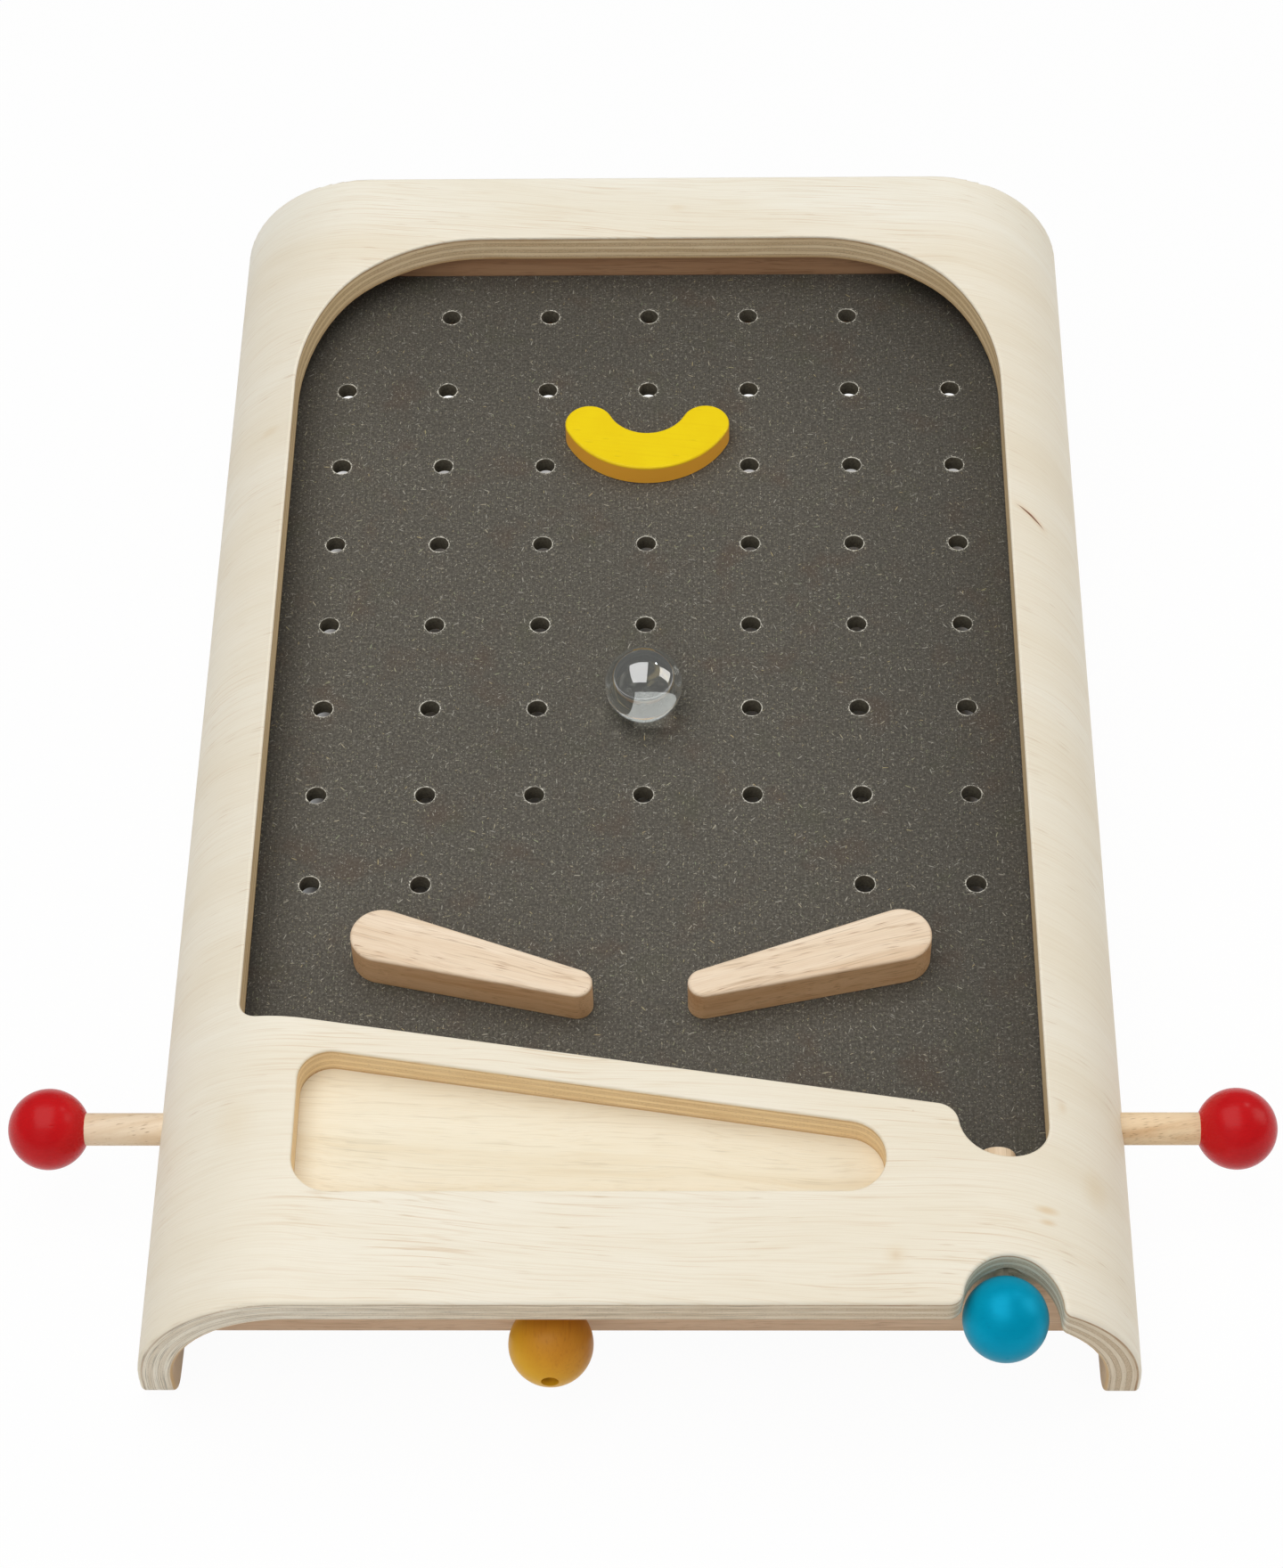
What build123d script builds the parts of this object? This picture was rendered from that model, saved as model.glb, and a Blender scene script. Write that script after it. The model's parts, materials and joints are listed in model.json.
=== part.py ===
from build123d import *
import os
from math import atan, cos, degrees, pi, radians, sin, sqrt, tan

# Tabletop pinball game: a bent plywood shell over a sloping playfield board with peg holes, two
# flippers worked by push rods, a spring plunger, a pull rod, a marble and a movable obstacle.
# Lengths are millimetres and angles are degrees. The pieces are drawn in the board's own frame: x to
# the right, y up the slope, z out of the board's upper face, from the hole in the middle of the grid.
# At the end the whole game is tilted onto the table.

# General
slope = 8.0
clearance = 0.3
running_fit = 0.05
seat_fit = 0.02
overrun = 5.0

# Plywood shell
shell_width = 296.0
shell_length = 454.0
ply_thickness = 10.5
bend_radius = 47.5
front_height = 60.0
origin_to_back = 154.7
playfield_depth = 9.5
foot_corner_radius = 10.0
rim_edge_radius = 1.2
cut_edge_radius = 0.7

# Playfield opening in the shell
opening_side_margin = 26.6
opening_back_margin = 30.2
opening_back_radius = 63.0
opening_front_radius = 7.0
apron_left = 100.2
apron_right = 66.0
shoulder_radius = 7.0
pocket_diameter = 27.0
pocket_depth = 16.9

# Tray cut-out in the apron
tray_side_margin = 46.4
tray_pocket_gap = 21.6
tray_to_front = 37.1
tray_rib = 10.1
tray_back_radius = 9.5
tray_end_share = 0.53
tray_floor_thickness = 4.0
tray_floor_lap = 6.0

# Playfield board and its peg holes
board_thickness = 6.0
hole_diameter = 6.5
hole_side_margin = 16.4
hole_back_margin = 19.5
hole_flipper_gap = 27.8
hole_columns = (2, 3, 3, 3, 3, 3, 3)
lower_row_columns = (-3, -2, 2, 3)

# Front and rear rails
rail_thickness = 16.0
rail_ledge = 8.0
rail_height = 36.4
front_rail_setback = 16.3
rear_rail_setback = 1.2
rail_edge_radius = 0.8

# Screws
screw_diameter = 3.5
screw_head_diameter = 7.0
screw_bite = 4.5
drive_width = 1.0
drive_depth = 1.2
board_screw_share = 0.8
board_screws_per_rail = 3

# Ball knobs
knob_diameter = 25.0

# Flippers
flipper_side_gap = 41.4
flipper_to_front = 131.5
flipper_tip_gap = 29.0
flipper_big_radius = 9.5
flipper_tip_radius = 5.0
flipper_thickness = 13.0
flipper_droop = 16.3
flipper_lift_off = 0.4
flipper_edge_radius = 1.1
shaft_diameter = 8.0
shaft_socket_depth = 9.0

# Push rods, cranks and return springs
push_rod_diameter = 10.0
push_rod_to_front = 81.8
push_rod_z = -20.0
push_travel = 20.0
push_knob_reach = 34.0
push_rod_inner_end = 24.5
crank_thickness = 6.0
crank_hub_radius = 9.0
crank_eye_radius = 7.5
drive_pin_diameter = 4.0
collar_radius = 7.5
collar_thickness = 6.0
collar_to_pin = 10.0
guide_thickness = 10.0
guide_width = 40.0
guide_wall = 4.0
guide_screw_spacing = 28.0
return_spring_wire = 1.2
return_spring_radius = 6.6
return_spring_pitch = 4.2

# Plunger
plunger_offset = 1.7
plunger_z = 6.0
plunger_knob_gap = 1.3
plunger_rod_diameter = 6.0
plunger_head_diameter = 11.2
plunger_head_length = 6.9
plunger_head_reach = 7.8
plunger_groove_gap = 0.3
plunger_edge_radius = 0.6
plunger_spring_wire = 0.9
plunger_spring_radius = 4.1
plunger_spring_pitch = 4.1
notch_diameter = 29.0
notch_depth = 16.2
notch_left_radius = 4.5
notch_right_radius = 2.0

# Pull rod
pull_x = -25.3
pull_z = -11.2
pull_rod_diameter = 5.2
pull_rod_tail = 27.0
pull_pin_diameter = 2.5
pull_pin_length = 14.0
pull_pin_inset = 6.0

# Marble and obstacle
marble_diameter = 25.0
rows_behind_marble = 5
rows_behind_obstacle = 2
obstacle_arc_radius = 22.2
obstacle_arc_angle = 128.0
obstacle_width = 16.4
obstacle_thickness = 7.7
obstacle_edge_radius = 0.8
peg_fit = 0.1
peg_socket_depth = 5.0
peg_tail_gap = 0.5

# Levels and stations worked out from the sizes above
shell_top = playfield_depth + ply_thickness
shell_back = origin_to_back
shell_front = shell_back - shell_length
table_at_front = shell_top - front_height
bend_x = shell_width / 2 - bend_radius
bend_z = shell_top - bend_radius
inner_radius = bend_radius - ply_thickness
inner_half = shell_width / 2 - ply_thickness
opening_half = shell_width / 2 - opening_side_margin
opening_back = shell_back - opening_back_margin
pocket_radius = pocket_diameter / 2
pocket_x = opening_half - pocket_radius
pocket_y = shell_front + apron_right - pocket_depth + pocket_radius
apron_tilt = (apron_left - apron_right) / (2 * opening_half - pocket_diameter)
apron_angle = atan(apron_tilt)
tray_left = shell_width / 2 - tray_side_margin
tray_right = opening_half - pocket_diameter - tray_pocket_gap
plunger_x = pocket_x - plunger_offset
flipper_pivot_x = opening_half - flipper_side_gap
flipper_pivot_y = shell_front + flipper_to_front
flipper_length = (flipper_pivot_x - flipper_tip_gap / 2 - flipper_tip_radius) / cos(radians(flipper_droop))
push_rod_y = shell_front + push_rod_to_front
column_pitch = (opening_half - hole_side_margin) / max(hole_columns)
first_row = opening_back - hole_back_margin
row_pitch = (first_row - flipper_pivot_y - hole_flipper_gap) / len(hole_columns)
board_bottom = -board_thickness
board_half = bend_x + sqrt(inner_radius**2 - bend_z**2) - clearance
front_rail_y = shell_front + front_rail_setback
rear_rail_y = opening_back + rear_rail_setback
rail_bottom = playfield_depth - rail_height
front_step = front_rail_y + rail_thickness - rail_ledge
knob_radius = knob_diameter / 2
push_rod_radius = push_rod_diameter / 2
push_knob_x = shell_width / 2 + push_knob_reach
crank_arm = flipper_pivot_y - push_rod_y
crank_swing = degrees(atan(push_travel / 2 / crank_arm))
crank_top = board_bottom - flipper_lift_off
crank_bottom = crank_top - crank_thickness
pin_x = flipper_pivot_x + push_travel / 2
plunger_tip_y = pocket_y - pocket_radius + plunger_head_reach
plunger_head_back = plunger_tip_y - plunger_head_length
plunger_knob_y = front_rail_y - plunger_knob_gap - knob_radius
pull_knob_y = front_rail_y - clearance - knob_radius
notch_y = shell_front + notch_depth - notch_diameter / 2


def table_level(y):
    """Height of the table under the station y, along the board's own z."""
    return table_at_front - (y - shell_front) * tan(radians(slope))


def apron_edge(x):
    """Front edge of the playfield opening, which falls towards the launch pocket."""
    return shell_front + apron_left - (x + opening_half) * apron_tilt


def span_box(x0, x1, y0, y1, z0, z1):
    """Block between two corners."""
    return Pos((x0 + x1) / 2, (y0 + y1) / 2, (z0 + z1) / 2) * Box(x1 - x0, y1 - y0, z1 - z0)


def rod_x(radius, x0, x1, y, z):
    """Round bar along x."""
    return Pos((x0 + x1) / 2, y, z) * Rot(0, 90, 0) * Cylinder(radius, x1 - x0)


def rod_y(radius, x, y0, y1, z):
    """Round bar along y."""
    return Pos(x, (y0 + y1) / 2, z) * Rot(90, 0, 0) * Cylinder(radius, y1 - y0)


def rod_z(radius, x, y, z0, z1):
    """Round bar along z."""
    return Pos(x, y, (z0 + z1) / 2) * Cylinder(radius, z1 - z0)


def slab(sketch, z0, z1):
    """Plate with the sketch's outline, between two levels."""
    return extrude(Pos(0, 0, z0) * sketch, amount=z1 - z0, dir=(0, 0, 1))


def mirrored(shape):
    """The same piece on the other side of the game."""
    return mirror(shape, about=Plane.YZ)


def arch_prism(half_width, top, radius, bottom, y0, y1):
    """Bar along y whose section is flat on top and rounded at its two upper corners."""
    section = Pos(0, (top + bottom) / 2) * Rectangle(2 * half_width, top - bottom)
    section = fillet(section.vertices().group_by(Axis.Y)[-1], radius)
    stand = Plane(origin=(0, y0, 0), x_dir=(1, 0, 0), z_dir=(0, -1, 0))
    return extrude(stand * section, amount=y1 - y0, dir=(0, 1, 0))


def shell_hollow(narrowing, y0, y1):
    """Space under the shell, narrowed at each side."""
    bottom = table_level(shell_back) - overrun
    return arch_prism(inner_half - narrowing, playfield_depth, inner_radius, bottom, y0, y1)


def opening_outline():
    """Outline of the playfield opening with its launch pocket, seen square to the board."""
    pocket = Vector(pocket_x, pocket_y)
    along = Vector(cos(apron_angle), -sin(apron_angle))
    across = Vector(-along.Y, along.X)
    start = Vector(-opening_half, apron_edge(-opening_half)) - across * shoulder_radius
    reach = pocket - start
    offset = reach.dot(across)
    run = reach.dot(along) - sqrt((shoulder_radius + pocket_radius) ** 2 - offset**2)
    shoulder = start + along * run
    leave = shoulder + across * shoulder_radius
    meet = shoulder + (pocket - shoulder).normalized() * shoulder_radius
    crown = ((leave - shoulder) + (meet - shoulder)).normalized() * shoulder_radius + shoulder
    left = Vector(-opening_half, apron_edge(-opening_half))
    back_left = Vector(-opening_half, opening_back)
    back_right = Vector(opening_half, opening_back)
    lane = Vector(opening_half, pocket_y)
    edges = [
        Line(left, leave),
        ThreePointArc(leave, crown, meet),
        ThreePointArc(meet, pocket - Vector(0, pocket_radius), lane),
        Line(lane, back_right),
        Line(back_right, back_left),
        Line(back_left, left),
    ]
    outline = make_face(edges)
    outline = fillet(outline.vertices().group_by(Axis.Y)[-1], opening_back_radius)
    corner = outline.vertices().sort_by_distance(left)[0]
    return fillet(corner, opening_front_radius)


def tray_outline():
    """Outline of the tray cut-out: its back edge runs beside the opening's front edge."""
    front = shell_front + tray_to_front
    drop = tray_rib / cos(apron_angle)
    end = apron_edge(tray_right) - drop
    corners = [
        (-tray_left, front),
        (-tray_left, apron_edge(-tray_left) - drop),
        (tray_right, end),
        (tray_right, front),
    ]
    outline = make_face(Polyline(corners, close=True))
    back_left = outline.vertices().sort_by_distance((*corners[1], 0))[0]
    outline = fillet(back_left, tray_back_radius)
    others = [outline.vertices().sort_by_distance((*corners[i], 0))[0] for i in (0, 2, 3)]
    return fillet(others, tray_end_share * (end - front))


def notch_outline():
    """Outline of the knob notch: a round bite out of the front edge, with eased corners."""
    ahead = Pos(pocket_x, shell_front - overrun / 2) * Rectangle(2 * notch_diameter, overrun)
    outline = ahead + Pos(pocket_x, notch_y) * Circle(notch_diameter / 2)
    for side, radius in ((-1, notch_left_radius), (1, notch_right_radius)):
        corner = (pocket_x + side * notch_diameter / 2, shell_front, 0)
        outline = fillet(outline.vertices().sort_by_distance(corner)[0], radius)
    return outline


def ply_depth(point):
    """Depth of a point below the shell's outer face."""
    aside = max(abs(point.X) - bend_x, 0)
    above = max(point.Z - bend_z, 0)
    return bend_radius - sqrt(aside**2 + above**2)


def edge_points(edge):
    """Both ends and the middle of an edge."""
    return [edge.position_at(share) for share in (0, 1 / 2, 1)]


def on_rim(edge):
    """True for the edges round the bent sheet, which run along its outer or inner face."""
    run = edge.tangent_at(0)
    points = edge_points(edge)
    seam = all(abs(point.Z - bend_z) < seat_fit or point.Z > bend_z for point in points)
    lengthwise = abs(run.Y) > 1 - seat_fit and seam
    level = [ply_depth(point) for point in points]
    outer = all(abs(depth) < seat_fit for depth in level)
    inner = all(abs(depth - ply_thickness) < seat_fit for depth in level)
    return (outer or inner) and not lengthwise


def on_cut(edge):
    """True for the upper edges of the opening and of the tray."""
    points = edge_points(edge)
    outer = all(abs(ply_depth(point)) < seat_fit for point in points)
    seam = all(abs(abs(point.X) - bend_x) < seat_fit for point in points)
    wall = all(point.Z < bend_z + bend_radius / 2 for point in points)
    first = shell_front + notch_depth + rim_edge_radius + clearance
    last = opening_back + clearance
    between = all(first < point.Y < last for point in points)
    return outer and between and not seam and not wall


def make_shell():
    """Bent plywood shell, standing on the long lower edges of its two sides."""
    low = table_level(shell_back) - overrun
    shell = arch_prism(shell_width / 2, shell_top, bend_radius, low, shell_front, shell_back)
    shell -= shell_hollow(0, shell_front - overrun, shell_back + overrun)
    side = Polyline(
        (shell_front, shell_top + overrun),
        (shell_back, shell_top + overrun),
        (shell_back, table_level(shell_back)),
        (shell_front, table_level(shell_front)),
        close=True,
    )
    side = make_face(side)
    side = fillet(side.vertices().sort_by(Axis.Y)[:2], foot_corner_radius)
    keep = extrude(Plane.YZ * side, amount=shell_width, both=True)
    shell &= keep
    above = shell_top + overrun
    shell -= slab(notch_outline(), 0, above)
    shell = fillet(shell.edges().filter_by(on_rim), rim_edge_radius)
    shell -= slab(opening_outline(), 0, above)
    shell -= slab(tray_outline(), 0, above)
    groove = plunger_head_diameter / 2 + plunger_groove_gap
    shell -= rod_y(groove, plunger_x, shell_front - overrun, pocket_y, plunger_z)
    hole = push_rod_radius + running_fit
    shell -= rod_x(hole, -shell_width, shell_width, push_rod_y, push_rod_z)
    return fillet(shell.edges().filter_by(on_cut), cut_edge_radius)


def row_y(row):
    """Station of a row of peg holes, counted from the back."""
    return first_row - row * row_pitch


def hole_places():
    """Centres of the peg holes: seven close-set rows and a parted row near the flippers."""
    places = []
    for i, reach in enumerate(hole_columns):
        places += [(column * column_pitch, row_y(i)) for column in range(-reach, reach + 1)]
    last = row_y(len(hole_columns))
    return places + [(column * column_pitch, last) for column in lower_row_columns]


def board_screw_places():
    """Screws through the ledges of both rails into the board's ends."""
    first = -(board_screws_per_rail - 1) / 2
    spacing = board_screw_share * board_half
    columns = [(first + i) * spacing for i in range(board_screws_per_rail)]
    rows = (front_step + rail_ledge / 2, rear_rail_y - rail_ledge / 2)
    return [(x, y) for y in rows for x in columns]


def guide_screw_places():
    """Two screws through each push rod guide into the board."""
    centre = push_rod_inner_end + guide_thickness / 2 + seat_fit
    sides = (push_rod_y - guide_screw_spacing / 2, push_rod_y + guide_screw_spacing / 2)
    return [(side * centre, y) for side in (-1, 1) for y in sides]


def screw(x, y, head_level, gap):
    """Countersunk wood screw driven upwards into the board, or its hole with a gap round it."""
    head = screw_head_diameter / 2
    core = screw_diameter / 2
    sink = Pos(x, y, head_level + head / 2 - core / 2) * Cone(head + gap, core + gap, head - core)
    shank = rod_z(core + gap, x, y, head_level, board_bottom + screw_bite + gap)
    return sink + shank


def slotted_screw(x, y, head_level):
    """The screw itself, with the slot for the driver."""
    reach = screw_head_diameter / 2
    half = drive_width / 2
    slot = span_box(x - reach, x + reach, y - half, y + half, head_level, head_level + drive_depth)
    return screw(x, y, head_level, 0) - slot


def make_board():
    """Playfield board with peg holes, shaft holes and pilot holes for the screws."""
    board = span_box(
        -board_half, board_half, front_step + clearance, rear_rail_y - clearance, board_bottom, 0
    )
    for x, y in hole_places():
        board -= rod_z(hole_diameter / 2, x, y, board_bottom, 0)
    for side in (-1, 1):
        bore = shaft_diameter / 2 + running_fit
        board -= rod_z(bore, side * flipper_pivot_x, flipper_pivot_y, board_bottom, 0)
    for x, y in board_screw_places():
        board -= screw(x, y, rail_bottom, seat_fit)
    for x, y in guide_screw_places():
        board -= screw(x, y, guide_bottom(), seat_fit)
    return board


def make_rail(outer, inner, step):
    """Rail across the shell with a ledge under the board's end, from its outer to its inner face."""
    low, high = sorted((outer, inner))
    rail = shell_hollow(clearance, low, high)
    rail &= span_box(-shell_width, shell_width, low, high, rail_bottom, playfield_depth)
    near, far = sorted((step, inner))
    rail -= span_box(-shell_width, shell_width, near, far, board_bottom, playfield_depth)
    for x, y in board_screw_places():
        if low < y < high:
            rail -= screw(x, y, rail_bottom, seat_fit)
    return rail


def make_front_rail():
    """Front rail, which also guides the plunger and the pull rod."""
    back = front_rail_y + rail_thickness
    rail = make_rail(front_rail_y, back, front_step)
    rail -= rod_y(plunger_rod_diameter / 2 + running_fit, plunger_x, front_rail_y, back, plunger_z)
    rail -= rod_y(pull_rod_diameter / 2 + running_fit, pull_x, front_rail_y, back, pull_z)
    return rail


def make_rear_rail():
    """Rear rail, which closes the back of the playfield."""
    ledge = rear_rail_y - rail_ledge
    return make_rail(ledge + rail_thickness, ledge, rear_rail_y)


def make_tray_floor():
    """Thin panel under the tray cut-out, lapping under the shell all round."""
    panel = offset(tray_outline(), tray_floor_lap)
    floor = slab(panel, playfield_depth - tray_floor_thickness, playfield_depth)
    return floor & shell_hollow(clearance, shell_front, shell_back)


def flipper_outline():
    """Tapered lever from the pivot at the origin towards +x."""
    tip = Pos(flipper_length, 0) * Circle(flipper_tip_radius)
    return make_hull((Circle(flipper_big_radius) + tip).edges())


def make_flipper():
    """Left flipper at rest, drooping towards the middle."""
    lever = slab(flipper_outline(), 0, flipper_thickness)
    lever = fillet(lever.edges().group_by(Axis.Z)[-1], flipper_edge_radius)
    socket = shaft_diameter / 2 + seat_fit
    lever -= rod_z(socket, 0, 0, 0, shaft_socket_depth + seat_fit)
    return Pos(-flipper_pivot_x, flipper_pivot_y, flipper_lift_off) * Rot(0, 0, -flipper_droop) * lever


def make_shaft():
    """Dowel from the left flipper through the board to the crank."""
    top = flipper_lift_off + shaft_socket_depth
    return rod_z(shaft_diameter / 2, -flipper_pivot_x, flipper_pivot_y, crank_bottom, top)


def make_crank():
    """Left crank on the shaft's lower end, with a slot for the drive pin."""
    longest = crank_arm / cos(radians(crank_swing))
    middle = (longest + crank_arm) / 2
    eye = Pos(0, -middle) * Circle(crank_eye_radius)
    plate = slab(make_hull((Circle(crank_hub_radius) + eye).edges()), crank_bottom, crank_top)
    plate -= rod_z(shaft_diameter / 2 + seat_fit, 0, 0, crank_bottom, crank_top)
    width = drive_pin_diameter + 2 * clearance
    slot = Pos(0, -middle) * Rot(0, 0, 90) * SlotCenterToCenter(longest - crank_arm + clearance, width)
    plate -= slab(slot, crank_bottom, crank_top)
    return Pos(-flipper_pivot_x, flipper_pivot_y, 0) * Rot(0, 0, -crank_swing) * plate


def make_knob(bore_radius, bore_depth):
    """Ball knob at the origin with a socket for its rod, open towards +z."""
    bore = rod_z(bore_radius, 0, 0, knob_radius - bore_depth, knob_radius)
    return Sphere(knob_radius) - bore


def make_push_knob():
    """Left ball knob on the push rod's outer end."""
    knob = make_knob(push_rod_radius + seat_fit, knob_radius)
    return Pos(-push_knob_x, push_rod_y, push_rod_z) * Rot(0, 90, 0) * knob


def make_push_rod():
    """Left push rod with the cross hole for its drive pin."""
    rod = rod_x(push_rod_radius, -push_knob_x, -push_rod_inner_end, push_rod_y, push_rod_z)
    pin = drive_pin_diameter / 2 + seat_fit
    return rod - rod_z(pin, -pin_x, push_rod_y, push_rod_z - push_rod_radius, crank_top)


def make_drive_pin():
    """Pin that stands in the push rod and works in the crank's slot."""
    foot = push_rod_z - push_rod_radius
    return rod_z(drive_pin_diameter / 2, -pin_x, push_rod_y, foot, crank_top)


def make_collar(x0, x1):
    """Ring fixed on the left push rod."""
    ring = rod_x(collar_radius, x0, x1, push_rod_y, push_rod_z)
    return ring - rod_x(push_rod_radius + seat_fit, x0, x1, push_rod_y, push_rod_z)


def spring_collar_x():
    """Inner face of the collar that the return spring pushes on."""
    return collar_to_pin + collar_thickness - pin_x


def make_spring_collar():
    """Collar between the drive pin and the return spring."""
    face = spring_collar_x()
    return make_collar(face - collar_thickness, face)


def make_stop_collar():
    """Collar that meets the shell's side from within and holds the push rod in."""
    drop = push_rod_z + collar_radius - bend_z
    wall = bend_x + sqrt(inner_radius**2 - drop**2)
    outer = clearance - wall
    return make_collar(outer, outer + collar_thickness)


def guide_bottom():
    """Lower face of the push rod guides."""
    return push_rod_z - push_rod_radius - guide_wall


def make_guide():
    """Left guide block under the board, round the push rod's inner end."""
    inner = -push_rod_inner_end - seat_fit
    outer = inner - guide_thickness
    half = guide_width / 2
    block = span_box(outer, inner, push_rod_y - half, push_rod_y + half, guide_bottom(), board_bottom)
    block -= rod_x(push_rod_radius + running_fit, outer, inner, push_rod_y, push_rod_z)
    for x, y in guide_screw_places():
        if x < 0:
            block -= screw(x, y, guide_bottom(), seat_fit)
    return block


def helix_edges(radius, turns, height):
    """Helix about z from the level zero, as a pair of tangent arcs for each half turn."""
    halves = 2 * turns
    rise = height / halves
    climb = rise / (pi * radius)
    edges = []
    for i in range(halves):
        ends = []
        for turn in (i * pi, (i + 1) * pi):
            point = Vector(radius * cos(turn), radius * sin(turn), rise * turn / pi)
            ends.append((point, Vector(-sin(turn), cos(turn), climb).normalized()))
        (first, leave), (last, arrive) = ends
        chord = last - first
        bend = 2 * (1 - leave.dot(arrive))
        lean = chord.dot(leave + arrive)
        reach = (sqrt(lean**2 + bend * chord.dot(chord)) - lean) / bend
        near = first + leave * reach
        far = last - arrive * reach
        joint = (near + far) / 2
        edges.append(Edge.make_tangent_arc(first, leave, joint))
        edges.append(Edge.make_tangent_arc(joint, far - near, last))
    return edges


def make_spring(name, wire, radius, pitch, length):
    """Coil spring along z from the level zero, a little shorter than the room it has."""
    height = length - wire - 2 * running_fit
    turns = max(round(height / pitch), 1)
    path = Wire(helix_edges(radius, turns, height))
    steps_per_turn = 24
    steps = steps_per_turn * turns
    points = [path.position_at(i / steps) for i in range(steps + 1)]
    apart = steps_per_turn // 2
    pairs = ((p, q) for i, p in enumerate(points) for q in points[i + apart :])
    least = min((p - q).length for p, q in pairs) - wire
    print(f"{name}: {turns} turns, least gap between turns {least:.2f} mm")
    start = Plane(origin=path.position_at(0), z_dir=path.tangent_at(0))
    coil = sweep(start * Circle(wire / 2), path=path)
    return Pos(0, 0, wire / 2 + running_fit) * coil


def make_return_spring():
    """Left return spring round the push rod, between its collar and the guide."""
    collar = spring_collar_x()
    room = -push_rod_inner_end - seat_fit - guide_thickness - collar
    coil = make_spring(
        "return spring", return_spring_wire, return_spring_radius, return_spring_pitch, room
    )
    return Pos(collar, push_rod_y, push_rod_z) * Rot(0, 90, 0) * coil


def make_plunger_rod():
    """Thin rod of the plunger, from its knob to its head."""
    return rod_y(plunger_rod_diameter / 2, plunger_x, plunger_knob_y, plunger_tip_y - plunger_head_length / 2,
                 plunger_z)


def make_plunger_head():
    """Blunt wooden head that strikes the marble."""
    head = rod_z(plunger_head_diameter / 2, 0, 0, 0, plunger_head_length)
    head = fillet(head.edges().group_by(Axis.Z)[-1], plunger_edge_radius)
    head -= rod_z(plunger_rod_diameter / 2 + seat_fit, 0, 0, 0, plunger_head_length / 2 + seat_fit)
    return Pos(plunger_x, plunger_head_back, plunger_z) * Rot(-90, 0, 0) * head


def make_plunger_knob():
    """Ball knob in front of the front rail."""
    knob = make_knob(plunger_rod_diameter / 2 + seat_fit, knob_radius)
    return Pos(plunger_x, plunger_knob_y, plunger_z) * Rot(-90, 0, 0) * knob


def make_plunger_spring():
    """Plunger spring between the front rail and the head."""
    room = plunger_head_back - front_step
    coil = make_spring(
        "plunger spring", plunger_spring_wire, plunger_spring_radius, plunger_spring_pitch, room
    )
    return Pos(plunger_x, front_step, plunger_z) * Rot(-90, 0, 0) * coil


def make_pull_knob():
    """Ball knob with a hole right through it, filled by its rod from behind."""
    return Pos(pull_x, pull_knob_y, pull_z) * Rot(-90, 0, 0) * make_knob(
        pull_rod_diameter / 2 + seat_fit, knob_diameter
    )


def pull_rod_end():
    """Inner end of the pull rod, behind the front rail."""
    return front_rail_y + rail_thickness + pull_rod_tail


def make_pull_rod():
    """Pull rod through the front rail with the cross hole for its pin."""
    rod = rod_y(pull_rod_diameter / 2, pull_x, pull_knob_y, pull_rod_end(), pull_z)
    return rod - pull_pin(seat_fit)


def pull_pin(gap):
    """Cross pin near the pull rod's inner end, or its hole with a gap round it."""
    half = pull_pin_length / 2
    y = pull_rod_end() - pull_pin_inset
    return rod_x(pull_pin_diameter / 2 + gap, pull_x - half, pull_x + half, y, pull_z)


def make_marble():
    """Glass marble that rests over one of the peg holes."""
    radius = marble_diameter / 2
    seat = sqrt(radius**2 - (hole_diameter / 2) ** 2)
    return Pos(0, row_y(rows_behind_marble), seat + clearance) * Sphere(radius)


def make_obstacle():
    """Crescent open towards the back, with a socket for its peg under its middle."""
    start = -obstacle_arc_angle / 2
    arc = CenterArc((-obstacle_arc_radius, 0), obstacle_arc_radius, start, obstacle_arc_angle)
    body = slab(Rot(0, 0, -90) * SlotArc(arc, obstacle_width), 0, obstacle_thickness)
    body = fillet(body.edges().group_by(Axis.Z)[-1], obstacle_edge_radius)
    socket = hole_diameter / 2 - peg_fit + running_fit
    body -= rod_z(socket, 0, 0, 0, peg_socket_depth + running_fit)
    return Pos(0, row_y(rows_behind_obstacle), clearance) * body


def make_obstacle_peg():
    """Peg that carries the obstacle in a peg hole."""
    top = clearance + peg_socket_depth
    return rod_z(hole_diameter / 2 - peg_fit, 0, row_y(rows_behind_obstacle), board_bottom + peg_tail_gap, top)


def all_pieces():
    """Every piece by name, in the board's frame."""
    pieces = {
        "shell": make_shell(),
        "playfield_board": make_board(),
        "front_rail": make_front_rail(),
        "rear_rail": make_rear_rail(),
        "tray_floor": make_tray_floor(),
        "board_screws": Compound([slotted_screw(x, y, rail_bottom) for x, y in board_screw_places()]),
        "guide_screws": Compound([slotted_screw(x, y, guide_bottom()) for x, y in guide_screw_places()]),
        "plunger_rod": make_plunger_rod(),
        "plunger_head": make_plunger_head(),
        "plunger_knob": make_plunger_knob(),
        "plunger_spring": make_plunger_spring(),
        "pull_rod": make_pull_rod(),
        "pull_knob": make_pull_knob(),
        "pull_rod_pin": pull_pin(0),
        "marble": make_marble(),
        "obstacle": make_obstacle(),
        "obstacle_peg": make_obstacle_peg(),
    }
    sides = {
        "flipper": make_flipper(),
        "flipper_shaft": make_shaft(),
        "crank": make_crank(),
        "push_knob": make_push_knob(),
        "push_rod": make_push_rod(),
        "drive_pin": make_drive_pin(),
        "spring_collar": make_spring_collar(),
        "stop_collar": make_stop_collar(),
        "rod_guide": make_guide(),
        "return_spring": make_return_spring(),
    }
    for name, piece in sides.items():
        pieces[f"left_{name}"] = piece
        pieces[f"right_{name}"] = mirrored(piece)
    return pieces


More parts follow.
